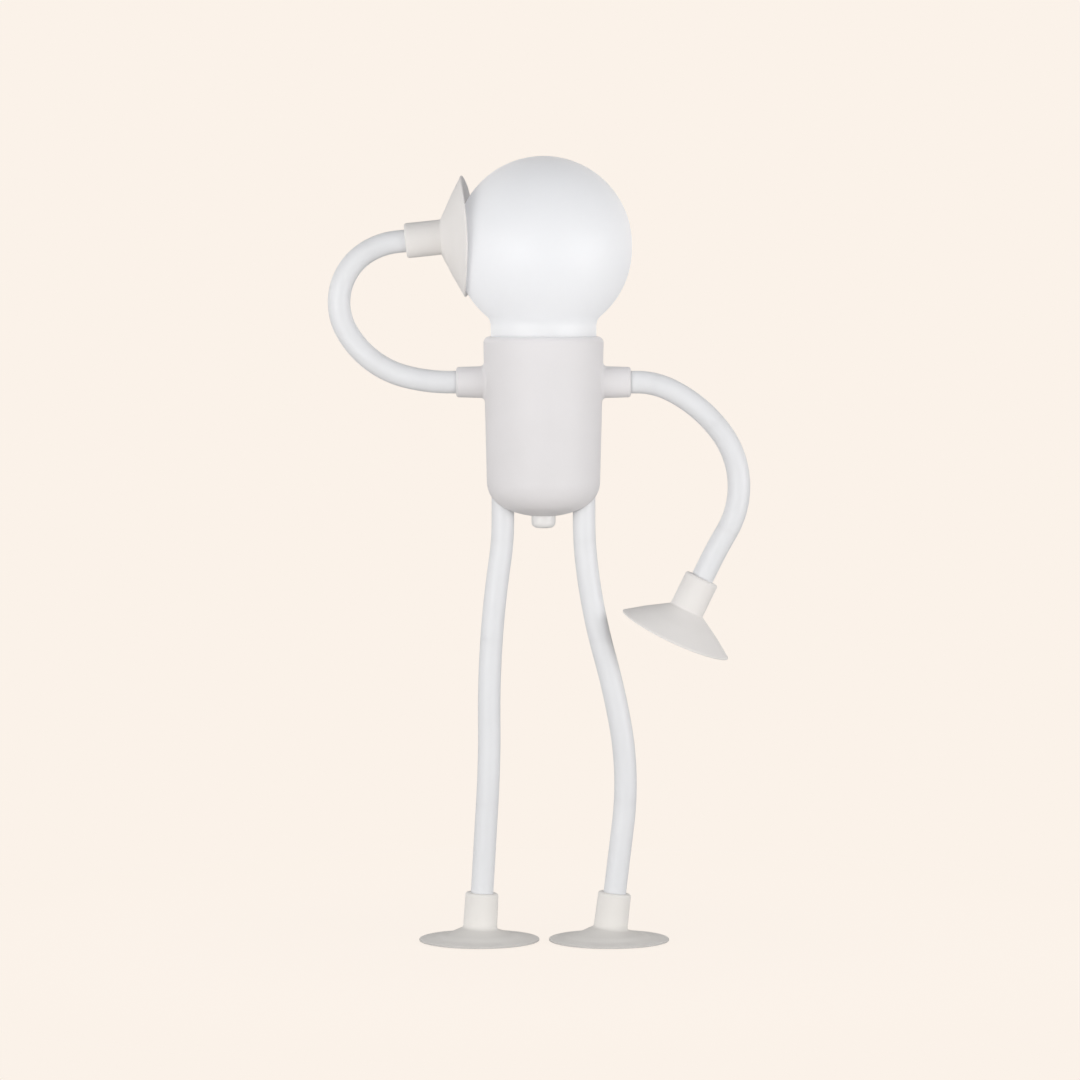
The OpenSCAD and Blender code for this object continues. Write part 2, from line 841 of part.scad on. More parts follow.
module lead(at, high) {
    translate([at[0], at[1], board_top]) cylinder(h = high - board_top, r = lead_r);
}

module cell_leads() color("firebrick") {
    lead(cell_lead_at, cell_top);
    lead([-cell_lead_at[0], cell_lead_at[1]], cell_low - strap_t);
}

module led_leads() color("black")
    for (s = [-1, 1]) {
        lead([s * led_lead_at[0], led_lead_at[1]], tray_top);
    }

module board_screw_holes() {
    for (p = post_spots) {
        translate([p[0], p[1], board_top - screw_len]) cylinder(h = screw_len, r = screw_r + thread_slack);
    }
}

module control_board() color("darkgreen")
    difference() {
        translate([0, 0, board_z])
            linear_extrude(height = board_t) {
                square([board_w, board_l], center = true);
                translate([-tongue_w / 2, 0]) square([tongue_w, tongue_y]);
            }
        board_screw_holes();
    }

module board_part(at, size) {
    translate([at[0] - size[0] / 2, at[1] - size[1] / 2, board_top]) cube(size);
}

module board_parts() color("darkslategray") {
    board_part(chip_at, chip_size);
    board_part(coil_at, coil_size);
    for (at = cap_spots) {
        board_part(at, cap_size);
    }
}

module board_screws() color("silver")
    for (p = post_spots) {
        translate([p[0], p[1], board_top]) screw();
    }

module usb_socket() color("silver")
    translate([0, usb_mouth_y, usb_z])
        rotate([90, 0, 0]) {
            difference() {
                linear_extrude(height = usb_len) stadium(usb_w, usb_h);
                translate([0, 0, -over])
                    linear_extrude(height = usb_len + over - usb_wall)
                        stadium(usb_w - 2 * usb_wall, usb_h - 2 * usb_wall);
            }
            translate([-usb_tongue[0] / 2, -usb_tongue[1] / 2, usb_len - usb_wall - usb_tongue[2]])
                cube([usb_tongue[0], usb_tongue[1], usb_tongue[2] + hair]);
        }

module switch_body() color("dimgray")
    difference() {
        translate([-switch_w / 2, -switch_w / 2, board_z - switch_h]) cube([switch_w, switch_w, switch_h]);
        translate([0, 0, board_z - switch_h - over])
            cylinder(h = over + plunger_hold + button_travel + plunger_gap, r = plunger_r + plunger_gap);
    }

// Wire clamp over a socket's inner end
module anchor(r) {
    difference() {
        cylinder(h = anchor_t, r = r);
        translate([0, 0, -over]) cylinder(h = anchor_t + 2 * over, r = bore_r);
    }
}

module arm_anchors() color("goldenrod")
    for (s = [-1, 1]) {
        translate([s * arm_seat, 0, shoulder_z]) rotate([0, -s * 90, 0]) anchor(arm_anchor_r);
    }

module leg_anchors() color("goldenrod")
    for (s = [-1, 1]) {
        translate([s * hip_x, 0, torso_lift + leg_grip]) anchor(leg_anchor_r);
    }

module root_wires() color("silver") {
    for (s = [-1, 1]) {
        translate([s * (arm_seat - anchor_t), 0, shoulder_z])
            rotate([0, s * 90, 0])
                cylinder(h = anchor_t + arm_grip + stub_len, r = wire_r);
        translate([s * hip_x, 0, hip_z]) cylinder(h = hip_gap + leg_grip + anchor_t, r = wire_r);
    }
}

module left_arm_root() color("white") root_sleeve(left_shoulder, arm_grip + stub_len);

module right_arm_root() color("white") root_sleeve(right_shoulder, arm_grip + stub_len);

module left_leg_root() color("white") root_sleeve(left_hip, hip_gap + leg_grip);

module right_leg_root() color("white") root_sleeve(right_hip, hip_gap + leg_grip);

module push_button() color("ivory") {
    low = torso_lift - button_reach;
    seat = torso_lift + torso_wall + flange_lift;
    rotate_extrude()
        soft_polygon([
            [0, low, 0],
            [button_d / 2, low, button_round],
            [button_d / 2, seat, 0],
            [flange_r, seat, 0],
            [flange_r, seat + flange_t, 0],
            [stem_r, seat + flange_t, 0],
            [stem_r, board_z - switch_h - plunger_show, 0],
            [0, board_z - switch_h - plunger_show, 0]
        ]);
}

module switch_plunger() color("black")
    translate([0, 0, board_z - switch_h - plunger_show])
        cylinder(h = plunger_show + plunger_hold, r = plunger_r);

module left_upper_arm_sleeve() color("white") sleeve_link(left_shoulder, left_arm, 0, 0);

module left_upper_arm_wire() color("silver") wire_link(left_shoulder, left_arm, 0, 0);

module left_mid_arm_sleeve() color("white") sleeve_link(left_shoulder, left_arm, 1, 5);

module left_mid_arm_wire() color("silver") wire_link(left_shoulder, left_arm, 1, 5);

module left_hand_plug() color("white") end_plug(left_wrist);

module left_hand_cup() color("antiquewhite") hand_cup(left_wrist, left_cup_d, left_cup_h, left_cup_angle);

module right_upper_arm_sleeve() color("white") sleeve_link(right_shoulder, right_arm, 0, 0);

module right_upper_arm_wire() color("silver") wire_link(right_shoulder, right_arm, 0, 0);

module right_mid_arm_sleeve() color("white") sleeve_link(right_shoulder, right_arm, 1, 2);

module right_mid_arm_wire() color("silver") wire_link(right_shoulder, right_arm, 1, 2);

module right_forearm_sleeve() color("white") sleeve_link(right_shoulder, right_arm, 3, 5);

module right_forearm_wire() color("silver") wire_link(right_shoulder, right_arm, 3, 5);

module right_hand_plug() color("white") end_plug(right_wrist);

module right_hand_cup() color("antiquewhite") hand_cup(right_wrist, right_cup_d, right_cup_h, right_cup_angle);

module left_hip_sleeve() color("white") sleeve_link(left_hip, left_leg, 0, 0);

module left_hip_wire() color("silver") wire_link(left_hip, left_leg, 0, 0);

module left_thigh_sleeve() color("white") sleeve_link(left_hip, left_leg, 1, 1);

module left_thigh_wire() color("silver") wire_link(left_hip, left_leg, 1, 1);

module left_shin_sleeve() color("white") sleeve_link(left_hip, left_leg, 2, 3);

module left_shin_wire() color("silver") wire_link(left_hip, left_leg, 2, 3);

module left_foot_plug() color("white") end_plug(finish(left_hip, left_leg));

module left_foot_cup() color("antiquewhite") foot_cup(finish(left_hip, left_leg));

module right_hip_sleeve() color("white") sleeve_link(right_hip, right_leg, 0, 0);

module right_hip_wire() color("silver") wire_link(right_hip, right_leg, 0, 0);

module right_thigh_sleeve() color("white") sleeve_link(right_hip, right_leg, 1, 2);

module right_thigh_wire() color("silver") wire_link(right_hip, right_leg, 1, 2);

module right_shin_sleeve() color("white") sleeve_link(right_hip, right_leg, 3, 4);

module right_shin_wire() color("silver") wire_link(right_hip, right_leg, 3, 4);

module right_foot_plug() color("white") end_plug(finish(right_hip, right_leg));

module right_foot_cup() color("antiquewhite") foot_cup(finish(right_hip, right_leg));

globe();
light_tray();
led_board();
led_chips();
tray_screws();
torso_shell();
cell_cradle();
battery_cell();
cell_straps();
cell_leads();
led_leads();
control_board();
board_parts();
board_screws();
usb_socket();
switch_body();
arm_anchors();
leg_anchors();
root_wires();
left_arm_root();
right_arm_root();
left_leg_root();
right_leg_root();
push_button();
switch_plunger();
left_upper_arm_sleeve();
left_upper_arm_wire();
left_mid_arm_sleeve();
left_mid_arm_wire();
left_hand_plug();
left_hand_cup();
right_upper_arm_sleeve();
right_upper_arm_wire();
right_mid_arm_sleeve();
right_mid_arm_wire();
right_forearm_sleeve();
right_forearm_wire();
right_hand_plug();
right_hand_cup();
left_hip_sleeve();
left_hip_wire();
left_thigh_sleeve();
left_thigh_wire();
left_shin_sleeve();
left_shin_wire();
left_foot_plug();
left_foot_cup();
right_hip_sleeve();
right_hip_wire();
right_thigh_sleeve();
right_thigh_wire();
right_shin_sleeve();
right_shin_wire();
right_foot_plug();
right_foot_cup();
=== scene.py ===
"""Bendable-figure night light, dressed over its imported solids.

Metres, +Z up, the front faces -Y. Sizes below are in millimetres and scaled by MM.
"""
import math

import bmesh
import bpy
import numpy as np
from mathutils import Matrix, Vector


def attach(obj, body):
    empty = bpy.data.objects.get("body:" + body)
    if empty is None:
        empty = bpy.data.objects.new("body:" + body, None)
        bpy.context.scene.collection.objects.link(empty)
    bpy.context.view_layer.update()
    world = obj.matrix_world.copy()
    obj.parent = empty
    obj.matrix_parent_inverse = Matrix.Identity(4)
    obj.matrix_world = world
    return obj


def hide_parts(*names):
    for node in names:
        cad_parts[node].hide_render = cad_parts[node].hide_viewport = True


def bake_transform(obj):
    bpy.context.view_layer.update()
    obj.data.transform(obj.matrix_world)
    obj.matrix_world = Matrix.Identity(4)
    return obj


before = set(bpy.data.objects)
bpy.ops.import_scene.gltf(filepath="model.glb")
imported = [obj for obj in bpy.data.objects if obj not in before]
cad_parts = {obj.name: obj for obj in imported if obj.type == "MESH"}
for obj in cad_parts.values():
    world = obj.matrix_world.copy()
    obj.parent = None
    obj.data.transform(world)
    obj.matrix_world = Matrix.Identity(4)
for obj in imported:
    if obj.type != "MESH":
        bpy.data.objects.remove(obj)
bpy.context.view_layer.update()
MM = 0.001


# Torso shell. One cup of injection-moulded warm white plastic with a fine matte texture,
# open at the top for the globe's neck. The underside is a shallow dome with a large soft edge.
# The legs and the button pass through holes in it, the charging plug through a slot at the back.
TORSO_LOW = 141.9
TORSO_TOP = 201.7
TORSO_TOP_R = 20.0
TORSO_TAPER = math.radians(1.4)
TORSO_SLOPE = math.radians(24)
TORSO_CORNER = 10.0
TORSO_DOME_FLAT = 0.5
TORSO_RIM = 2.2
TORSO_WALL = 2.2
TORSO_SIDES = 192
TORSO_ARC_STEPS = 18
BUTTON_HOLE_R = 4.3
BUTTON_HOLE_CLEAR = 0.1
HIP_X = 13.5
HIP_HOLE_R = 3.95
HIP_HOLE_LOW = TORSO_LOW - 5.0
HIP_HOLE_TOP = 160.0
HIP_HOLE_SIDES = 64
USB_Z = 154.83
USB_SLOT = (9.44, 3.76)
USB_CUT = (12, 24)
USB_SIDES = 48
WELD = 1e-7
SHARP_EDGE = 38
FLOWING_CORNER = math.radians(30)
SAME_WAY = 0.93
CLOUD_SIZE = 24
CLOUD_STOPS = (0.35, 0.7)
GRAIN_HEIGHT = 0.05
GLOSS_SPREAD = 0.04


def torso_r(z):
    """Radius of the torso's tapered side at a height."""
    return TORSO_TOP_R - (TORSO_TOP - z) * math.tan(TORSO_TAPER)


def soft(corners, steps):
    """Outline through (radius, height, rounding) corners, each rounded by an arc."""
    points = []
    count = len(corners)
    for i, (r, z, rounding) in enumerate(corners):
        at = Vector((r, z))
        if rounding == 0:
            points.append((r, z))
            continue
        back = (Vector(corners[i - 1][:2]) - at).normalized()
        ahead = (Vector(corners[(i + 1) % count][:2]) - at).normalized()
        half = back.angle(ahead) / 2
        centre = at + (back + ahead).normalized() * rounding / math.sin(half)
        first = at + back * rounding / math.tan(half) - centre
        last = at + ahead * rounding / math.tan(half) - centre
        sweep = first.angle_signed(last)
        for k in range(steps + 1):
            a = -sweep * k / steps
            points.append((
                centre.x + first.x * math.cos(a) - first.y * math.sin(a),
                centre.y + first.x * math.sin(a) + first.y * math.cos(a),
            ))
    return points


def skin(name, verts, faces):
    """Object from millimetre points, with outward faces, smooth but for its sharp edges."""
    mesh = bpy.data.meshes.new(name)
    mesh.from_pydata([Vector(v) * MM for v in verts], [], faces)
    work = bmesh.new()
    work.from_mesh(mesh)
    bmesh.ops.remove_doubles(work, verts=work.verts, dist=WELD)
    bmesh.ops.recalc_face_normals(work, faces=work.faces)
    work.to_mesh(mesh)
    work.free()
    mesh.shade_smooth()
    mesh.set_sharp_from_angle(angle=math.radians(SHARP_EDGE))
    obj = bpy.data.objects.new(name, mesh)
    bpy.context.scene.collection.objects.link(obj)
    return obj


def lathe(name, outline, sides, place=None):
    """Turned skin about Z. An outline that starts and ends on the axis closes there, and any other
    closes on itself. Place bends the turned points (radius, angle, height) into others."""
    place = place or (lambda r, a, z: (r * math.cos(a), r * math.sin(a), z))
    rings, verts, faces = [], [], []
    for r, z in outline:
        count = 1 if r < 1e-6 else sides
        rings.append(range(len(verts), len(verts) + count))
        verts += [place(r, math.tau * k / sides, z) for k in range(count)]
    pairs = list(zip(rings, rings[1:]))
    if len(rings[0]) > 1:
        pairs.append((rings[-1], rings[0]))
    for a, b in pairs:
        for k in range(sides):
            n = (k + 1) % sides
            if len(a) == 1 and len(b) == 1:
                break
            if len(a) == 1:
                faces.append((a[0], b[n], b[k]))
            elif len(b) == 1:
                faces.append((a[k], a[n], b[0]))
            else:
                faces.append((a[k], a[n], b[n], b[k]))
    return skin(name, verts, faces)


def settled(obj):
    """Turns what an object's modifiers show into its own plain mesh."""
    graph = bpy.context.evaluated_depsgraph_get()
    mesh = bpy.data.meshes.new_from_object(obj.evaluated_get(graph))
    obj.modifiers.clear()
    obj.data = mesh
    return obj


def cut(obj, cutter):
    """Cuts one solid out of another and drops the cutter."""
    knife = obj.modifiers.new("cut", "BOOLEAN")
    knife.operation = "DIFFERENCE"
    knife.solver = "EXACT"
    knife.object = cutter
    settled(obj)
    bpy.data.objects.remove(cutter)


def turned_normals(obj, outline):
    """Gives the uncut part of a turned skin the true normals of its outline."""
    mesh = obj.data
    line = np.array(outline + outline[:1]) * MM
    a, d = line[:-1], line[1:] - line[:-1]
    keep = np.hypot(*d.T) > 1e-9
    a, d = a[keep], d[keep]
    side = np.stack([d[:, 1], -d[:, 0]], 1) / np.hypot(*d.T)[:, None]
    corner = np.einsum("ij,ij->i", side, np.roll(side, 1, 0)) > math.cos(FLOWING_CORNER)
    start = np.where(corner[:, None], side + np.roll(side, 1, 0), side)
    end = np.where(np.roll(corner, -1)[:, None], side + np.roll(side, -1, 0), side)
    start /= np.hypot(*start.T)[:, None]
    end /= np.hypot(*end.T)[:, None]
    normals = np.empty((len(mesh.loops), 3))
    for face in mesh.polygons:
        for i in face.loop_indices:
            p = mesh.vertices[mesh.loops[i].vertex_index].co
            spot = np.array([math.hypot(p.x, p.y), p.z])
            t = np.clip(np.einsum("ij,ij->i", spot - a, d) / np.einsum("ij,ij->i", d, d), 0, 1)
            near = np.argmin(np.hypot(*(a + d * t[:, None] - spot).T))
            out = start[near] * (1 - t[near]) + end[near] * t[near]
            turn = math.atan2(p.y, p.x)
            true = Vector((out[0] * math.cos(turn), out[0] * math.sin(turn), out[1])).normalized()
            normals[i] = true if true.dot(face.normal) > SAME_WAY else face.normal
    mesh.normals_split_custom_set(normals.tolist())


def finish(name, colour, drift, rough, grain, lift, **sockets):
    """Moulded surface. Its colour wanders to drift over some centimetres, and a grain, given
    in millimetres, varies the gloss and lifts the surface. Sockets are set as they are."""
    material = bpy.data.materials.new(name)
    material.use_nodes = True
    nodes, links = material.node_tree.nodes, material.node_tree.links
    shader = nodes["Principled BSDF"]
    for socket, value in sockets.items():
        shader.inputs[socket.replace("_", " ")].default_value = value
    where = nodes.new("ShaderNodeTexCoord").outputs["Object"]

    def noise(size, detail):
        node = nodes.new("ShaderNodeTexNoise")
        node.inputs["Scale"].default_value = 1 / (size * MM)
        node.inputs["Detail"].default_value = detail
        links.new(where, node.inputs["Vector"])
        return node.outputs["Fac"]

    cloud = nodes.new("ShaderNodeValToRGB")
    for stop, position, tint in zip(cloud.color_ramp.elements, CLOUD_STOPS, (colour, drift)):
        stop.position = position
        stop.color = (*tint, 1)
    links.new(noise(CLOUD_SIZE, 3), cloud.inputs["Fac"])
    links.new(cloud.outputs["Color"], shader.inputs["Base Color"])
    fine = noise(grain, 2)
    gloss = nodes.new("ShaderNodeMapRange")
    gloss.inputs["To Min"].default_value = rough - GLOSS_SPREAD
    gloss.inputs["To Max"].default_value = rough + GLOSS_SPREAD
    links.new(fine, gloss.inputs["Value"])
    links.new(gloss.outputs["Result"], shader.inputs["Roughness"])
    bump = nodes.new("ShaderNodeBump")
    bump.inputs["Strength"].default_value = lift
    bump.inputs["Distance"].default_value = GRAIN_HEIGHT * MM
    links.new(fine, bump.inputs["Height"])
    links.new(bump.outputs["Normal"], shader.inputs["Normal"])
    return material


corner_trim = TORSO_CORNER * math.tan((math.pi / 2 - TORSO_TAPER - TORSO_SLOPE) / 2)
dome_x = torso_r(TORSO_LOW) / math.cos(TORSO_SLOPE) + TORSO_DOME_FLAT - corner_trim
dome_x /= 1 + 1 / math.cos(TORSO_SLOPE)
dome_r = (dome_x - TORSO_DOME_FLAT) / math.tan(TORSO_SLOPE / 2)


def torso_line(inset, rim):
    """Outline of the torso drawn in by an inset, from the button's hole to the top edge."""
    side = torso_r(TORSO_LOW) - inset
    low = TORSO_LOW + inset
    flat_end = dome_x - inset * math.tan(TORSO_SLOPE / 2)
    edge = side - flat_end + inset / math.tan(TORSO_SLOPE)
    edge /= 1 / math.tan(TORSO_SLOPE) - math.tan(TORSO_TAPER)
    bend = dome_r - inset
    hole_z = low + bend - math.sqrt(bend ** 2 - (BUTTON_HOLE_R - TORSO_DOME_FLAT) ** 2)
    line = soft([
        (0, low, 0),
        (flat_end, low, bend),
        (side + edge * math.tan(TORSO_TAPER), TORSO_LOW + edge, TORSO_CORNER - inset),
        (TORSO_TOP_R - inset, TORSO_TOP, rim),
        (TORSO_TOP_R - inset - TORSO_WALL, TORSO_TOP, 0),
    ], steps=TORSO_ARC_STEPS)[:-1]
    return [(BUTTON_HOLE_R, hole_z)] + [(r, z) for r, z in line if r > BUTTON_HOLE_R + BUTTON_HOLE_CLEAR]


torso_outline = torso_line(0, TORSO_RIM) + torso_line(TORSO_WALL, 0)[::-1]
torso = lathe("torso_cup", torso_outline, TORSO_SIDES)
hole = [(0, HIP_HOLE_LOW), (HIP_HOLE_R, HIP_HOLE_LOW), (HIP_HOLE_R, HIP_HOLE_TOP), (0, HIP_HOLE_TOP)]
half_step = math.pi / HIP_HOLE_SIDES
for side in (-1, 1):
    cut(torso, lathe("hip_hole", hole, HIP_HOLE_SIDES, lambda r, a, z: (
        side * HIP_X + r * math.cos(a + half_step), r * math.sin(a + half_step), z,
    )))
slot_half = (USB_SLOT[0] - USB_SLOT[1]) / 2
slot_end = USB_SLOT[1] / 2
slot_turns = [math.tau * k / USB_SIDES for k in range(USB_SIDES)]
slot_ring = [
    (math.copysign(slot_half, math.cos(a)) + slot_end * math.cos(a), USB_Z + slot_end * math.sin(a))
    for a in slot_turns
]
slot_points = [(x, y, z) for y in USB_CUT for x, z in slot_ring]
slot_faces = [tuple(range(USB_SIDES)), tuple(range(USB_SIDES, 2 * USB_SIDES))]
for k in range(USB_SIDES):
    n = (k + 1) % USB_SIDES
    slot_faces.append((k, n, USB_SIDES + n, USB_SIDES + k))
cut(torso, skin("usb_slot", slot_points, slot_faces))
turned_normals(torso, torso_outline)
torso_plastic = finish(
    "torso plastic", (0.812, 0.796, 0.803), (0.787, 0.771, 0.775), 0.52, 0.32, 0.16,
    Specular_IOR_Level=0.3, Subsurface_Weight=0.06, Subsurface_Scale=0.004, Subsurface_Radius=(1, 1, 1),
)
torso.data.materials.append(torso_plastic)
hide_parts("torso_shell")
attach(torso, "torso")


# Shoulder collars. Short tubes moulded in one with the torso, with a fillet at the foot that
# follows the round wall. The arms' sleeves are pushed into them and clamped inside.
SHOULDER_Z = 186.5
COLLAR_R = 5.05
COLLAR_FOOT_R = 5.25
COLLAR_BORE = 3.95
COLLAR_REACH = 29.0
COLLAR_FILLET = 1.4
COLLAR_EDGE = 1.0
COLLAR_BORE_EDGE = 0.2
COLLAR_DEPTH = 12.0
COLLAR_TUCK = (0.2, 1.2)
COLLAR_SIDES = 96
FILLET_STEPS = 12
WALL_SAMPLES = 200
HALVINGS = 40


def wall_x(rho, a):
    """Torso surface, out along X, at a distance and angle from the collar's axis."""
    return math.sqrt(torso_r(SHOULDER_Z + rho * math.sin(a)) ** 2 - (rho * math.cos(a)) ** 2)


def fillet(a):
    """Points (distance from axis, x) of the foot's fillet at one angle, from the collar down to the wall.
    Halving finds where the fillet's centre stands when its arc just touches the wall."""
    reach = np.linspace(COLLAR_FOOT_R, COLLAR_FOOT_R + 2 * COLLAR_FILLET, WALL_SAMPLES)
    wall = np.array([wall_x(rho, a) for rho in reach])
    middle = COLLAR_FOOT_R + COLLAR_FILLET
    low, high = wall.min(), wall.max() + 2 * COLLAR_FILLET
    for _ in range(HALVINGS):
        x = (low + high) / 2
        if np.hypot(reach - middle, wall - x).min() < COLLAR_FILLET:
            low = x
        else:
            high = x
    touch = np.argmin(np.hypot(reach - middle, wall - high))
    last = math.atan2(wall[touch] - high, reach[touch] - middle)
    first = -math.pi
    turns = [first + (last - first) * k / FILLET_STEPS for k in range(FILLET_STEPS + 1)]
    return [(middle + COLLAR_FILLET * math.cos(t), high + COLLAR_FILLET * math.sin(t)) for t in turns]


def collar(name, side):
    """Collar from its mouth and bore to a foot tucked into the torso's wall."""
    mouth = soft([
        (COLLAR_R, 0, 0),
        (COLLAR_R, COLLAR_REACH, COLLAR_EDGE),
        (COLLAR_BORE, COLLAR_REACH, COLLAR_BORE_EDGE),
        (COLLAR_BORE, COLLAR_REACH - COLLAR_DEPTH, 0),
    ], steps=5)[1:]
    verts, faces = [], []
    for k in range(COLLAR_SIDES):
        a = math.tau * k / COLLAR_SIDES
        foot = fillet(a)
        inside = [(foot[-1][0] - COLLAR_TUCK[0], foot[-1][1] - COLLAR_TUCK[1])]
        for rho, x in mouth + inside + foot[::-1]:
            verts.append((side * x, rho * math.cos(a), SHOULDER_Z + rho * math.sin(a)))
    ring = len(verts) // COLLAR_SIDES
    for k in range(COLLAR_SIDES):
        here, there = k * ring, (k + 1) % COLLAR_SIDES * ring
        for j in range(ring):
            n = (j + 1) % ring
            faces.append((here + j, here + n, there + n, there + j))
    piece = skin(name, verts, faces)
    piece.data.materials.append(torso_plastic)
    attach(piece, "torso")


collar("left_collar", -1)
collar("right_collar", 1)


# Power pack. A battery cell in its dark cradle, two boards, their screws, leads and switch, and
# the charging socket at the back, under the tray that carries the globe. All but the socket's mouth
# is sealed in, screwed or clipped to the torso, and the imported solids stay, each in its own finish.
def dress(material, *nodes):
    """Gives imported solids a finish."""
    for node in nodes:
        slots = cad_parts[node].data.materials
        slots.clear()
        slots.append(material)


dress(finish("dark moulding", (0.05, 0.05, 0.055), (0.07, 0.07, 0.075), 0.55, 0.4, 0.2),
      "cell_cradle", "switch_body", "switch_plunger", "board_parts")
dress(finish("cell wrap", (0.10, 0.28, 0.50), (0.08, 0.24, 0.45), 0.25, 1.2, 0.1), "battery_cell")
dress(finish("green board", (0.03, 0.20, 0.08), (0.04, 0.25, 0.11), 0.35, 0.8, 0.25), "control_board")
dress(finish("white board", (0.80, 0.80, 0.78), (0.76, 0.76, 0.74), 0.4, 0.8, 0.2), "led_board")
dress(finish("lamp phosphor", (0.90, 0.78, 0.30), (0.86, 0.72, 0.24), 0.45, 0.3, 0.3), "led_chips")
dress(finish("red lead", (0.50, 0.04, 0.03), (0.42, 0.03, 0.03), 0.4, 0.6, 0.15), "cell_leads")
dress(finish("black lead", (0.03, 0.03, 0.03), (0.045, 0.045, 0.045), 0.4, 0.6, 0.15), "led_leads")
dress(finish("zinc steel", (0.60, 0.60, 0.61), (0.52, 0.52, 0.54), 0.32, 0.25, 0.3, Metallic=1.0),
      "tray_screws", "board_screws", "cell_straps")
dress(finish("drawn brass", (0.72, 0.53, 0.22), (0.64, 0.46, 0.18), 0.3, 0.3, 0.25, Metallic=1.0),
      "arm_anchors", "leg_anchors")
dress(finish("bright socket shell", (0.70, 0.70, 0.72), (0.62, 0.62, 0.64), 0.24, 0.2, 0.2, Metallic=1.0),
      "usb_socket")
dress(finish("tray moulding", (0.80, 0.80, 0.79), (0.76, 0.76, 0.75), 0.5, 0.4, 0.2), "light_tray")


# Push button. A cap of pale satin plastic that stands out of the torso's underside and works the switch
# through a stem. A flange inside the torso keeps it from falling out.
BUTTON_R = 4.0
BUTTON_LOW = 138.0
BUTTON_ROUND = 1.9
BUTTON_CROWN = 0.3
CROWN_SHARE = 0.4
CROWN_ROUND = 4.0
FLANGE = (5.6, 144.7, 145.7)
FLANGE_ROUND = 0.2
STEM_R = 2.5
STEM_TOP = 147.3
STEM_FILLET = 0.3
BUTTON_SIDES = 72

button = lathe("button_cap", soft([
    (0, BUTTON_LOW, 0),
    (BUTTON_R * CROWN_SHARE, BUTTON_LOW, CROWN_ROUND),
    (BUTTON_R, BUTTON_LOW + BUTTON_CROWN, BUTTON_ROUND),
    (BUTTON_R, FLANGE[1], 0),
    (FLANGE[0], FLANGE[1], FLANGE_ROUND),
    (FLANGE[0], FLANGE[2], FLANGE_ROUND),
    (STEM_R, FLANGE[2], STEM_FILLET),
    (STEM_R, STEM_TOP, 0),
    (0, STEM_TOP, 0),
], steps=6), BUTTON_SIDES)
button.data.materials.append(finish(
    "button plastic", (0.84, 0.835, 0.82), (0.81, 0.80, 0.785), 0.34, 0.5, 0.1,
    Subsurface_Weight=0.2, Subsurface_Scale=0.003, Subsurface_Radius=(1, 1, 1),
))
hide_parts("push_button")
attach(button, "button")


# Globe. A blow-moulded shell of milky plastic, two half spheres with a short band between, drawn
# in to a neck that snaps over the light tray's collar. Its skin is satin and faintly blue, and a weak
# painted glow, strongest at and below the middle and fading to the crown, stands in for light through it.
GLOBE_R = 29.3
GLOBE_LOW = 230.8
GLOBE_BAND = 1.2
GLOBE_WALL = 1.4
NECK_R = 17.5
NECK_LOW = 194.2
NECK_FILLET = 4.0
NECK_STEPS = 10
GLOBE_STEPS = 56
GLOBE_SIDES = 160
GLOBE_PAINTED_GLOW = (0.15, 0.08)


def globe_line(inset):
    """Outline from the neck's open end to the crown, drawn in by an inset."""
    r, n, f = GLOBE_R - inset, NECK_R - inset, NECK_FILLET + inset
    drop = math.sqrt((r + f) ** 2 - (n + f) ** 2)
    lean = math.atan2(drop, n + f)
    line = [(n, NECK_LOW)]
    for k in range(NECK_STEPS + 1):
        a = math.pi - lean * k / NECK_STEPS
        line.append((n + f + f * math.cos(a), GLOBE_LOW - drop + f * math.sin(a)))
    for k in range(1, GLOBE_STEPS + 1):
        a = -lean + lean * k / GLOBE_STEPS
        line.append((r * math.cos(a), GLOBE_LOW + r * math.sin(a)))
    for k in range(GLOBE_STEPS + 1):
        a = math.pi / 2 * k / GLOBE_STEPS
        line.append((r * math.cos(a), GLOBE_LOW + GLOBE_BAND + r * math.sin(a)))
    line[-1] = (0, line[-1][1])
    return line


def by_height(material, low, high, first=0, last=1):
    """Value that runs from first to last between two heights of a finish's object."""
    nodes, links = material.node_tree.nodes, material.node_tree.links
    split = nodes.new("ShaderNodeSeparateXYZ")
    links.new(nodes["Texture Coordinate"].outputs["Object"], split.inputs["Vector"])
    run = nodes.new("ShaderNodeMapRange")
    run.inputs["From Min"].default_value = low * MM
    run.inputs["From Max"].default_value = high * MM
    run.inputs["To Min"].default_value = first
    run.inputs["To Max"].default_value = last
    links.new(split.outputs["Z"], run.inputs["Value"])
    return run.outputs["Result"]


globe = lathe("globe_shell", globe_line(GLOBE_WALL)[::-1] + globe_line(0), GLOBE_SIDES)
milky = finish(
    "milky globe", (0.90, 0.91, 0.945), (0.885, 0.897, 0.934), 0.42, 1.5, 0.03,
    Specular_IOR_Level=0.4, Subsurface_Weight=1.0, Subsurface_Scale=0.008, Subsurface_Radius=(1, 1, 1),
    Emission_Color=(0.97, 0.98, 1, 1),
)
nodes, links = milky.node_tree.nodes, milky.node_tree.links
# Painted light: the globe glows by itself, more at and below its middle than at its crown.
painted_glow = by_height(milky, GLOBE_LOW, GLOBE_LOW + GLOBE_R, *GLOBE_PAINTED_GLOW)
links.new(painted_glow, nodes["Principled BSDF"].inputs["Emission Strength"])
globe.data.materials.append(milky)
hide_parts("globe")
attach(globe, "torso")
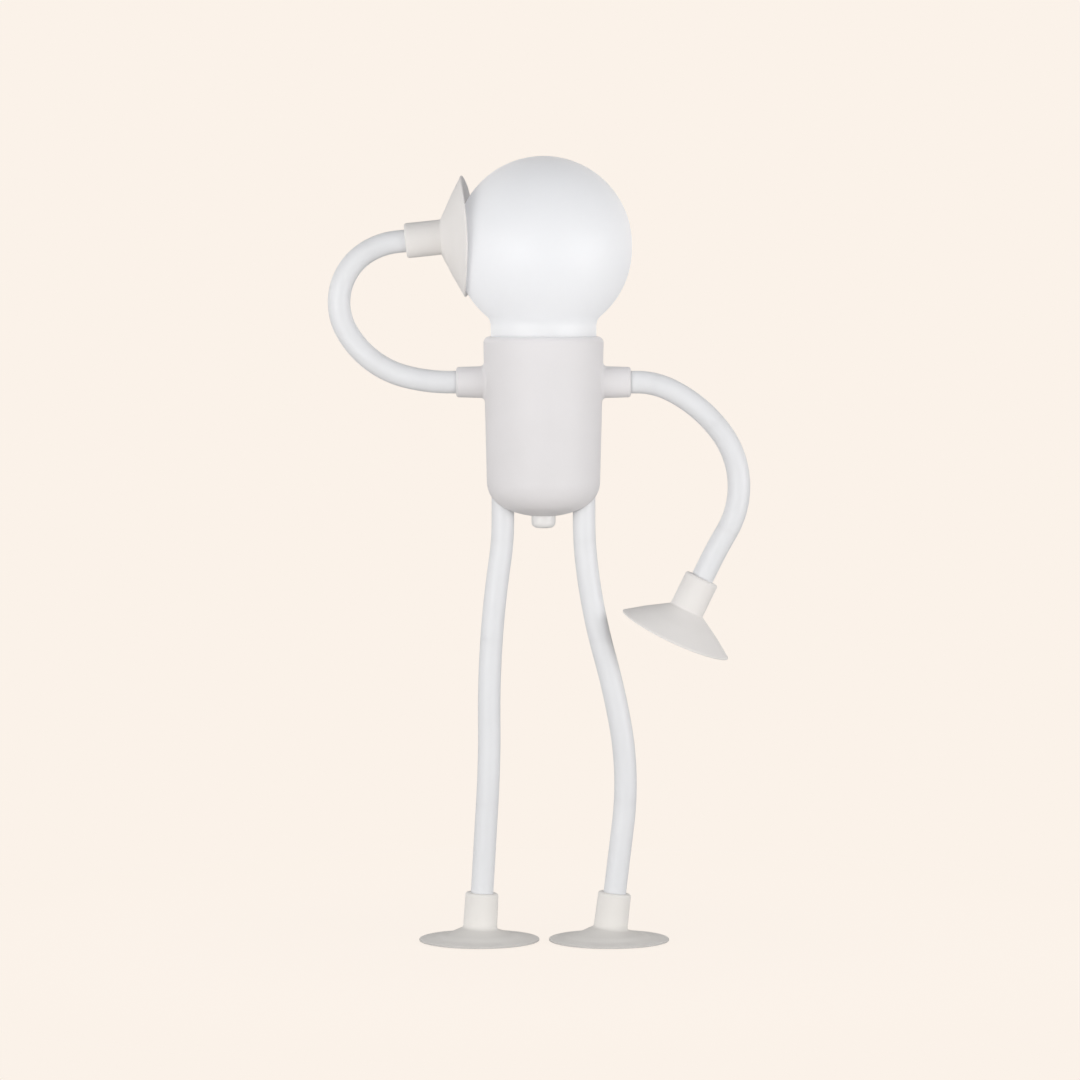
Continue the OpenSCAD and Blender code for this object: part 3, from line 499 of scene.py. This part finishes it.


# Limb sleeves. Soft white silicone tube over one bending wire, clamped in the torso's sockets and glued
# into the cups. Each limb is a chain of round bends, and its skin is laid along them at rest.
# A seam is the length along a limb where one skin ends and the next starts.
SLEEVE_R = 3.75
SLEEVE_SIDES = 48
SLEEVE_STEP = 0.8
SLEEVE_LEAST_STEPS = 8
SEAM_STEP = 0.05
SLEEVE_SHARP = 40
SOCKET_STUB = 2.0
CUP_GRIP = 10.0
ARM_GRIP = 15.8
HIP_GRIP = 12.5
HIP_STUB = 2.5
BEND_HALF = 6.5
SHORT_BEND = 4.7
LONG_BEND = 8.5
KNEE_BEND = 10.5
LEFT_SHOULDER_SEAM = 8
LEFT_ELBOW_SEAM = 25
LEFT_WRIST_RUN = 10
RIGHT_SHOULDER_SEAM = 5.8
RIGHT_LIFT_SEAM = 30
RIGHT_ELBOW_RUN = 17
HIP_SEAM = 6.75
THIGH_SEAM = 40
KNEE_SEAM = 95

# Start (x, z, heading) of each limb, then the length of each bend and the degrees it turns by.
LIMBS = {
    "left_arm": ((-31, 186.5, 180), [(14.9272, -14.5), (25.4, -46.4), (29.3174, -86.1), (11, -27), (0.9, 0)]),
    "right_arm": ((31, 186.5, 0), [(11.6116, -26.3), (22.1, -27.1), (35.235, -67), (12, 4.4), (3.3, 0)]),
    "left_leg": ((-13.5, 140.6, -90), [(13.5, -8.3), (54, 8.9), (26, -3.9), (29.3841, 0)]),
    "right_leg": ((13.5, 140.6, -90), [(13.5, 6.3), (32, 9.2), (23.5, -5.2), (34, -17.1), (21.1297, 0)]),
}


def runs(limb):
    """Lengths of a limb's bends."""
    return [length for length, _ in LIMBS[limb][1]]


def along(limb, s):
    """Place (x, z) and heading at a length along a limb, straight before its start and after its end."""
    (x, z, heading), bends = LIMBS[limb]
    if s < 0:
        bends = [(s, 0)]
    for i, (length, turn) in enumerate(bends):
        part = s if i == len(bends) - 1 or s < length else length
        bend = math.radians(turn) * part / length
        h = math.radians(heading)
        if turn == 0:
            x, z = x + part * math.cos(h), z + part * math.sin(h)
        else:
            r = length / math.radians(turn)
            x += r * (math.sin(h + bend) - math.sin(h))
            z += r * (math.cos(h) - math.cos(h + bend))
        heading += math.degrees(bend)
        s -= part
        if s <= 0 and i < len(bends) - 1:
            break
    return x, z, heading


def sleeve_tree():
    """Tube along a line of edges, with closed ends."""
    tree = bpy.data.node_groups.new("bending sleeve", "GeometryNodeTree")
    face = tree.interface
    face.new_socket("Line", in_out="INPUT", socket_type="NodeSocketGeometry")
    face.new_socket("Sleeve radius", in_out="INPUT", socket_type="NodeSocketFloat")
    face.new_socket("Sides", in_out="INPUT", socket_type="NodeSocketInt")
    face.new_socket("Finish", in_out="INPUT", socket_type="NodeSocketMaterial")
    face.new_socket("Sleeve", in_out="OUTPUT", socket_type="NodeSocketGeometry")
    new, link = tree.nodes.new, tree.links.new
    given = new("NodeGroupInput")
    line = new("GeometryNodeMeshToCurve")
    ring = new("GeometryNodeCurvePrimitiveCircle")
    tube = new("GeometryNodeCurveToMesh")
    tube.inputs["Fill Caps"].default_value = True
    real = new("GeometryNodeRealizeInstances")
    paint = new("GeometryNodeSetMaterial")
    result = new("NodeGroupOutput")
    link(given.outputs["Line"], line.inputs["Mesh"])
    link(given.outputs["Sides"], ring.inputs["Resolution"])
    link(given.outputs["Sleeve radius"], ring.inputs["Radius"])
    link(line.outputs["Curve"], tube.inputs["Curve"])
    link(ring.outputs["Curve"], tube.inputs["Profile Curve"])
    link(tube.outputs["Mesh"], real.inputs["Geometry"])
    link(real.outputs["Geometry"], paint.inputs["Geometry"])
    link(given.outputs["Finish"], paint.inputs["Material"])
    link(paint.outputs["Geometry"], result.inputs["Sleeve"])
    return tree


SLEEVE_TREE = sleeve_tree()
sleeve_rubber = finish(
    "sleeve rubber", (0.825, 0.835, 0.85), (0.80, 0.81, 0.825), 0.4, 0.6, 0.08,
    Subsurface_Weight=0.12, Subsurface_Scale=0.003, Subsurface_Radius=(1, 1, 1), Specular_IOR_Level=0.4,
)


def sleeve(name, limb, first, last, *nodes):
    """Length of a limb's tube between two lengths along it. Short end steps square its ends to the limb,
    so that two lengths meet without a gap."""
    count = max(SLEEVE_LEAST_STEPS, round((last - first) / SLEEVE_STEP))
    lengths = [first + (last - first) * k / count for k in range(count + 1)]
    lengths[1:1] = [first + SEAM_STEP]
    lengths[-1:-1] = [last - SEAM_STEP]
    spots = [along(limb, length) for length in lengths]
    edges = [(k, k + 1) for k in range(len(spots) - 1)]
    mesh = bpy.data.meshes.new(name)
    mesh.from_pydata([(x * MM, 0, z * MM) for x, z, _ in spots], edges, [])
    obj = bpy.data.objects.new(name, mesh)
    bpy.context.scene.collection.objects.link(obj)
    modifier = obj.modifiers.new("sleeve", "NODES")
    modifier.node_group = SLEEVE_TREE
    values = {"Sleeve radius": SLEEVE_R * MM, "Sides": SLEEVE_SIDES, "Finish": sleeve_rubber}
    for socket in SLEEVE_TREE.interface.items_tree:
        if socket.in_out == "INPUT" and socket.name in values:
            modifier[socket.identifier] = values[socket.name]
    settled(obj)
    obj.data.shade_smooth()
    obj.data.set_sharp_from_angle(angle=math.radians(SLEEVE_SHARP))
    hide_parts(*nodes)
    return obj


def bending(name, limb, first, last, at, bodies, before, after, *nodes):
    """Sleeve between two lengths along a limb, baked in place and not joined to any body.
    The bodies and the lengths before and after are not used."""
    obj = sleeve(name, limb, first, last, *nodes)
    x, z, heading = along(limb, at)
    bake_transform(obj)


LEFT_ELBOW = runs("left_arm")[0]
LEFT_END = sum(runs("left_arm"))
bending("left_arm_shoulder_skin", "left_arm", -SOCKET_STUB - ARM_GRIP, LEFT_SHOULDER_SEAM, 0,
        ("torso", "left_upper_arm"), SOCKET_STUB, BEND_HALF, "left_arm_root")
bending("left_arm_elbow_skin", "left_arm", LEFT_SHOULDER_SEAM, LEFT_ELBOW_SEAM, LEFT_ELBOW,
        ("left_upper_arm", "left_mid_arm"), BEND_HALF, BEND_HALF, "left_upper_arm_sleeve")
left_loop = sleeve("left_arm_loop_skin", "left_arm", LEFT_ELBOW_SEAM, LEFT_END - LEFT_WRIST_RUN,
                   "left_mid_arm_sleeve")
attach(left_loop, "left_mid_arm")
bending("left_arm_wrist_skin", "left_arm", LEFT_END - LEFT_WRIST_RUN, LEFT_END + SOCKET_STUB + CUP_GRIP,
        LEFT_END, ("left_mid_arm", "left_hand"), BEND_HALF, SOCKET_STUB, "left_hand_plug")

RIGHT_LIFT, RIGHT_UPPER, RIGHT_MID = runs("right_arm")[:3]
RIGHT_ELBOW = RIGHT_LIFT + RIGHT_UPPER + RIGHT_MID / 2
RIGHT_ELBOW_SEAM = RIGHT_ELBOW + RIGHT_ELBOW_RUN
RIGHT_END = sum(runs("right_arm"))
bending("right_arm_shoulder_skin", "right_arm", -SOCKET_STUB - ARM_GRIP, RIGHT_SHOULDER_SEAM, 0,
        ("torso", "right_upper_arm"), SOCKET_STUB, SHORT_BEND, "right_arm_root")
bending("right_arm_upper_skin", "right_arm", RIGHT_SHOULDER_SEAM, RIGHT_LIFT_SEAM, RIGHT_LIFT,
        ("right_upper_arm", "right_mid_arm"), SHORT_BEND, BEND_HALF, "right_upper_arm_sleeve")
bending("right_arm_elbow_skin", "right_arm", RIGHT_LIFT_SEAM, RIGHT_ELBOW_SEAM, RIGHT_ELBOW,
        ("right_mid_arm", "right_forearm"), LONG_BEND, LONG_BEND, "right_mid_arm_sleeve")
bending("right_arm_wrist_skin", "right_arm", RIGHT_ELBOW_SEAM, RIGHT_END + SOCKET_STUB + CUP_GRIP, RIGHT_END,
        ("right_forearm", "right_hand"), BEND_HALF, SOCKET_STUB, "right_forearm_sleeve", "right_hand_plug")

for side, runs_to_knee in (("left", 2), ("right", 3)):
    limb = side + "_leg"
    spread = runs(limb)[0]
    knee = sum(runs(limb)[:runs_to_knee])
    ankle = sum(runs(limb))
    bending(limb + "_hip_skin", limb, -HIP_GRIP, HIP_SEAM, 0, ("torso", side + "_hip"),
            HIP_STUB, BEND_HALF, side + "_leg_root")
    bending(limb + "_thigh_skin", limb, HIP_SEAM, THIGH_SEAM, spread, (side + "_hip", side + "_thigh"),
            BEND_HALF, LONG_BEND, side + "_hip_sleeve")
    bending(limb + "_knee_skin", limb, THIGH_SEAM, KNEE_SEAM, knee, (side + "_thigh", side + "_shin"),
            KNEE_BEND, KNEE_BEND, side + "_thigh_sleeve")
    bending(limb + "_ankle_skin", limb, KNEE_SEAM, ankle + SOCKET_STUB + CUP_GRIP, ankle,
            (side + "_shin", side + "_foot"), BEND_HALF, SOCKET_STUB,
            side + "_shin_sleeve", side + "_foot_plug")

dress(finish("soft aluminium wire", (0.66, 0.66, 0.67), (0.60, 0.60, 0.61), 0.36, 0.3, 0.2, Metallic=1.0),
      "root_wires", "left_upper_arm_wire", "left_mid_arm_wire", "right_upper_arm_wire", "right_mid_arm_wire",
      "right_forearm_wire", "left_hip_wire", "left_thigh_wire", "left_shin_wire",
      "right_hip_wire", "right_thigh_wire", "right_shin_wire")


# Hand cups. Suction cups of matte warm-white rubber, moulded with a plain neck that the end of
# the arm is glued into. They are relaxed, so the wall is a thin soft cone, a little out of true,
# and the left one lies close against the globe.
CUP_NECK_R = 5.8
CUP_NECK_H = 11.8
CUP_NECK_ROUND = 0.9
CUP_BORE = 3.85
CUP_BORE_EDGE = 0.2
CUP_LIP = 0.55
CUP_LIP_RISE = (0.25, 0.1)
CUP_LIP_ROUND = 0.2
CUP_BACK_ROUND = 0.3
CUP_MID = (0.55, 0.49)
CUP_SWEEP = 20.0
CUP_ROOT_ROUND = 0.5
CUP_WALL = 1.7
CUP_HOLLOW_R = 5.2
CUP_HOLLOW_ROUND = 2.0
CUP_SIDES = 144
GLOBE_CLEAR = 0.15
WRIST_TILTS = (0, 3, 6, 9)
cup_rubber = finish(
    "cup rubber", (0.86, 0.835, 0.81), (0.83, 0.805, 0.78), 0.66, 0.5, 0.14,
    Subsurface_Weight=0.12, Subsurface_Scale=0.003, Subsurface_Radius=(1, 1, 1), Specular_IOR_Level=0.08,
)


def hand(name, limb, body, node, width, height, angle, saddle, swing):
    """Cup at the end of an arm. Its cone turns by an angle against the neck, and its lip bends
    forward by saddle on both flanks and by swing more on the far flank than on the near one.
    It is held off the globe at rest and all the way down the wrist's tilt."""
    wrist = sum(runs(limb))
    pivot_x, pivot_z, _ = along(limb, wrist)
    x, z, heading = along(limb, wrist + SOCKET_STUB + CUP_NECK_H)
    rim = width / 2
    outline = soft([
        (0, -CUP_WALL, 0),
        (CUP_HOLLOW_R, -CUP_WALL, CUP_HOLLOW_ROUND),
        (rim - CUP_LIP, CUP_LIP_RISE[0] - height, CUP_LIP_ROUND),
        (rim - CUP_LIP / 2, -height, CUP_LIP_ROUND),
        (rim, CUP_LIP_RISE[1] - height, CUP_LIP_ROUND),
        (rim - CUP_LIP / 4, CUP_LIP - height, CUP_BACK_ROUND),
        (rim * CUP_MID[0] + CUP_NECK_R * (1 - CUP_MID[0]), -height * CUP_MID[1], CUP_SWEEP),
        (CUP_NECK_R, 0, CUP_ROOT_ROUND),
        (CUP_NECK_R, CUP_NECK_H, CUP_NECK_ROUND),
        (CUP_BORE, CUP_NECK_H, CUP_BORE_EDGE),
        (CUP_BORE, CUP_NECK_H - CUP_GRIP, 0),
        (0, CUP_NECK_H - CUP_GRIP, 0),
    ], steps=7)
    pivot = Vector((pivot_x, 0, pivot_z))
    crowns = [
        pivot + Matrix.Rotation(math.radians(-tilt), 3, "Y") @ (Vector((0, 0, GLOBE_LOW + band)) - pivot)
        for tilt in WRIST_TILTS for band in (0, GLOBE_BAND)
    ]

    def place(r, a, h):
        """Point of the cup: h runs back along the neck from the cone's root, and forward along the cone."""
        turn = math.radians(heading + (angle if h < 0 else 0))
        flank = math.sin(a)
        soft_share = max(0, -h / height) * min(1, r / rim)
        ahead = -h + soft_share * (saddle * flank ** 2 + swing * flank)
        across = r * math.cos(a)
        point = Vector((
            x + math.cos(turn) * ahead - math.sin(turn) * across,
            r * flank,
            z + math.sin(turn) * ahead + math.cos(turn) * across,
        ))
        cone_r = rim + (CUP_NECK_R - rim) * (height + h) / height
        inner = h < 0 and r < cone_r - CUP_LIP / 2
        least = GLOBE_R + GLOBE_CLEAR + (0 if inner else CUP_LIP / 2)
        for crown in crowns:
            away = point - crown
            if away.length < least:
                point = crown + away * (least / away.length)
        return point

    piece = lathe(name, outline, CUP_SIDES, place)
    piece.data.materials.append(cup_rubber)
    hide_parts(node)
    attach(piece, body)


hand("left_hand_skin", "left_arm", "left_hand", "left_hand_cup",
     width=40.2, height=7.8, angle=-4, saddle=2.7, swing=1.3)
hand("right_hand_skin", "right_arm", "right_hand", "right_hand_cup",
     width=38.6, height=9.3, angle=1.5, saddle=0.65, swing=-1.0)


# Foot cups. The same rubber cups, glued to the legs and pressed down on the floor, so the wide brim
# lies flat and runs up to the neck in a low cone, and the neck leans with the leg. The rubber's colour
# is painted darker and lighter by height: painted shade at the brim's edge by the floor and on the
# cone, painted light on the brim's top.
FOOT_R = 20.08
FOOT_EDGE = 0.6
FOOT_BRIM = 1.15
FOOT_CONE_R = 13.2
FOOT_SWEEP = 18.0
FOOT_CONE_H = 4.1
FOOT_SOLE = 6.0
FOOT_HOLLOW = 1.8
FOOT_HOLLOW_ROUND = 1.5
FOOT_EDGE_ROUND = (0.15, 0.28)
FOOT_NECK_R = (5.7, 5.5)
FOOT_ROOT_ROUND = 1.2
FOOT_SIDES = 128
# Painted light and shade by height: darker at the brim's edge and on the cone, lighter on the brim's top.
PAINTED_SHADING_TOP = 6.0
PAINTED_SHADING_BLUE = 0.985
PAINTED_SHADING = [(0, 0.74), (0.5, 0.76), (0.62, 1.04), (1.3, 1.04), (2.2, 0.91), (4.2, 0.9), (5.4, 1.0)]
foot_rubber = cup_rubber.copy()
foot_rubber.name = "foot rubber"
nodes, links = foot_rubber.node_tree.nodes, foot_rubber.node_tree.links
painted_shading_ramp = nodes.new("ShaderNodeValToRGB")
stops = painted_shading_ramp.color_ramp.elements
stops.remove(stops[1])
for k, (z, shade) in enumerate(PAINTED_SHADING):
    stop = stops.new(z / PAINTED_SHADING_TOP) if k else stops[0]
    stop.color = (shade, shade, shade * PAINTED_SHADING_BLUE, 1)
links.new(by_height(foot_rubber, 0, PAINTED_SHADING_TOP), painted_shading_ramp.inputs["Fac"])
painted_shading_mix = nodes.new("ShaderNodeMix")
painted_shading_mix.data_type = "RGBA"
painted_shading_mix.blend_type = "MULTIPLY"
painted_shading_mix.inputs["Factor"].default_value = 1.0
links.new(painted_shading_ramp.outputs["Color"], painted_shading_mix.inputs["B"])
links.new(nodes["Color Ramp"].outputs["Color"], painted_shading_mix.inputs["A"])
links.new(painted_shading_mix.outputs["Result"], nodes["Principled BSDF"].inputs["Base Color"])


def foot(name, limb, body, node):
    """Cup at the end of a leg, flat at the floor and leaning with the leg from its cone up."""
    ankle = sum(runs(limb))
    x, z, heading = along(limb, ankle)
    lean = math.radians(heading + 90)
    sole = x + z * math.tan(lean)
    top = z / math.cos(lean) - SOCKET_STUB
    outline = soft([
        (0, FOOT_HOLLOW, 0),
        (CUP_NECK_R - CUP_WALL, FOOT_HOLLOW, FOOT_HOLLOW_ROUND),
        (FOOT_R - FOOT_SOLE, 0, 0),
        (FOOT_R, 0, FOOT_EDGE_ROUND[0]),
        (FOOT_R, FOOT_EDGE, FOOT_EDGE_ROUND[1]),
        (FOOT_CONE_R, FOOT_BRIM, FOOT_SWEEP),
        (FOOT_NECK_R[0], FOOT_CONE_H, FOOT_ROOT_ROUND),
        (FOOT_NECK_R[1], top, CUP_NECK_ROUND),
        (CUP_BORE, top, CUP_BORE_EDGE),
        (CUP_BORE, top - CUP_GRIP, 0),
        (0, top - CUP_GRIP, 0),
    ], steps=10)

    def place(r, a, h):
        """Point of the foot, flat below the hollow's top and leant above the cone, with a smooth change."""
        across = r * math.cos(a)
        t = min(1, max(0, (h - FOOT_HOLLOW) / (FOOT_CONE_H - FOOT_HOLLOW)))
        t = t * t * (3 - 2 * t)
        leant = (across * math.cos(lean) - h * math.sin(lean), h * math.cos(lean) + across * math.sin(lean))
        return (
            sole + across * (1 - t) + leant[0] * t,
            r * math.sin(a),
            h * (1 - t) + leant[1] * t,
        )

    piece = lathe(name, outline, FOOT_SIDES, place)
    piece.data.materials.append(foot_rubber)
    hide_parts(node)
    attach(piece, body)


foot("left_foot_skin", "left_leg", "left_foot", "left_foot_cup")
foot("right_foot_skin", "right_leg", "right_foot", "right_foot_cup")


# Floor, light and camera. A pale cream floor that runs into the same cream behind and shows a share of
# its own shading round the feet, soft light from two sides of the camera, and the camera at the
# photograph's height with a long lens.
CREAM = (0.965, 0.888, 0.815)
FLOOR_HALF = 6000.0
FLOOR_DROP = 0.3
FLOOR_COLOUR = (0.7, 0.67, 0.64)
SHADOW_REACH = (50, 240)
SHADOW_SHARE = 0.84
SHADOW_LIFT = 1.11
CAMERA_AT = Vector((-1.17, -1500, 225))
CAMERA_AIM = Vector((-1.17, 0, 134.0))
PICTURE_WIDTH = 359.2
ROOM_COLOUR = (0.985, 0.985, 1.0)
ROOM_SIDE = 0.76
ROOM_TOP = 0.27
LIGHT_AIM = Vector((0, 0, 200))

floor_mesh = bpy.data.meshes.new("floor")
floor_mesh.from_pydata([
    (x * FLOOR_HALF * MM, y * FLOOR_HALF * MM, -FLOOR_DROP * MM)
    for x, y in ((-1, -1), (1, -1), (1, 1), (-1, 1))
], [], [(0, 1, 2, 3)])
floor = bpy.data.objects.new("floor", floor_mesh)
bpy.context.scene.collection.objects.link(floor)
floor_finish = bpy.data.materials.new("cream floor")
floor_finish.use_nodes = True
nodes, links = floor_finish.node_tree.nodes, floor_finish.node_tree.links
matt = nodes["Principled BSDF"]
matt.inputs["Base Color"].default_value = (*FLOOR_COLOUR, 1)
matt.inputs["Roughness"].default_value = 0.9
matt.inputs["Specular IOR Level"].default_value = 0.0
glow = nodes.new("ShaderNodeEmission")
glow.inputs["Color"].default_value = (*CREAM, 1)
seen = nodes.new("ShaderNodeLightPath")
where = nodes.new("ShaderNodeTexCoord")
far = nodes.new("ShaderNodeVectorMath")
far.operation = "LENGTH"
links.new(where.outputs["Object"], far.inputs[0])
fade = nodes.new("ShaderNodeMapRange")
fade.interpolation_type = "SMOOTHSTEP"
fade.inputs["From Min"].default_value = SHADOW_REACH[0] * MM
fade.inputs["From Max"].default_value = SHADOW_REACH[1] * MM
fade.inputs["To Min"].default_value = SHADOW_SHARE
fade.inputs["To Max"].default_value = 1.0
links.new(far.outputs["Value"], fade.inputs["Value"])
level = nodes.new("ShaderNodeMapRange")
level.inputs["From Min"].default_value = SHADOW_SHARE
level.inputs["To Min"].default_value = SHADOW_LIFT
level.inputs["To Max"].default_value = 1.0
links.new(fade.outputs["Result"], level.inputs["Value"])
links.new(level.outputs["Result"], glow.inputs["Strength"])
share = nodes.new("ShaderNodeMath")
share.operation = "MULTIPLY"
links.new(seen.outputs["Is Camera Ray"], share.inputs[0])
links.new(fade.outputs["Result"], share.inputs[1])
mix = nodes.new("ShaderNodeMixShader")
links.new(share.outputs["Value"], mix.inputs["Fac"])
links.new(matt.outputs["BSDF"], mix.inputs[1])
links.new(glow.outputs["Emission"], mix.inputs[2])
links.new(mix.outputs["Shader"], nodes["Material Output"].inputs["Surface"])
floor_mesh.materials.append(floor_finish)

world = bpy.data.worlds.new("studio")
bpy.context.scene.world = world
world.use_nodes = True
nodes, links = world.node_tree.nodes, world.node_tree.links
room = nodes["Background"]
room.inputs["Color"].default_value = (*ROOM_COLOUR, 1)
way = nodes.new("ShaderNodeTexCoord")
split = nodes.new("ShaderNodeSeparateXYZ")
links.new(way.outputs["Generated"], split.inputs["Vector"])
height = nodes.new("ShaderNodeMapRange")
height.inputs["To Min"].default_value = ROOM_SIDE
height.inputs["To Max"].default_value = ROOM_TOP
links.new(split.outputs["Z"], height.inputs["Value"])
links.new(height.outputs["Result"], room.inputs["Strength"])
backdrop = nodes.new("ShaderNodeBackground")
backdrop.inputs["Color"].default_value = (*CREAM, 1)
seen = nodes.new("ShaderNodeLightPath")
either = seen.outputs["Is Camera Ray"]
for ray in ("Is Glossy Ray", "Is Transmission Ray"):
    larger = nodes.new("ShaderNodeMath")
    larger.operation = "MAXIMUM"
    links.new(either, larger.inputs[0])
    links.new(seen.outputs[ray], larger.inputs[1])
    either = larger.outputs["Value"]
mix = nodes.new("ShaderNodeMixShader")
links.new(either, mix.inputs["Fac"])
links.new(room.outputs["Background"], mix.inputs[1])
links.new(backdrop.outputs["Background"], mix.inputs[2])
links.new(mix.outputs["Shader"], nodes["World Output"].inputs["Surface"])

SOFTBOXES = {
    "left softbox": ((-560, -860, 165), (760, 310), 3.8),
    "right softbox": ((740, -560, 165), (640, 310), 2.75),
    "left fill": ((-940, -260, 165), (500, 310), 0.8),
    "right fill": ((940, -260, 165), (500, 310), 0.3),
}
for name, (spot, size, power) in SOFTBOXES.items():
    light = bpy.data.lights.new(name, "AREA")
    light.shape = "RECTANGLE"
    light.size, light.size_y = size[0] * MM, size[1] * MM
    light.energy = power
    lamp = bpy.data.objects.new(name, light)
    lamp.location = Vector(spot) * MM
    lamp.rotation_euler = (LIGHT_AIM - Vector(spot)).to_track_quat("-Z", "Y").to_euler()
    bpy.context.scene.collection.objects.link(lamp)

lens = bpy.data.cameras.new("camera")
lens.sensor_fit = "HORIZONTAL"
lens.sensor_width = 36.0
lens.lens = lens.sensor_width * (CAMERA_AIM - CAMERA_AT).length / PICTURE_WIDTH
camera = bpy.data.objects.new("camera", lens)
camera.location = CAMERA_AT * MM
camera.rotation_euler = (CAMERA_AIM - CAMERA_AT).to_track_quat("-Z", "Y").to_euler()
bpy.context.scene.collection.objects.link(camera)
bpy.context.scene.camera = camera
bpy.context.scene.view_settings.view_transform = "Standard"
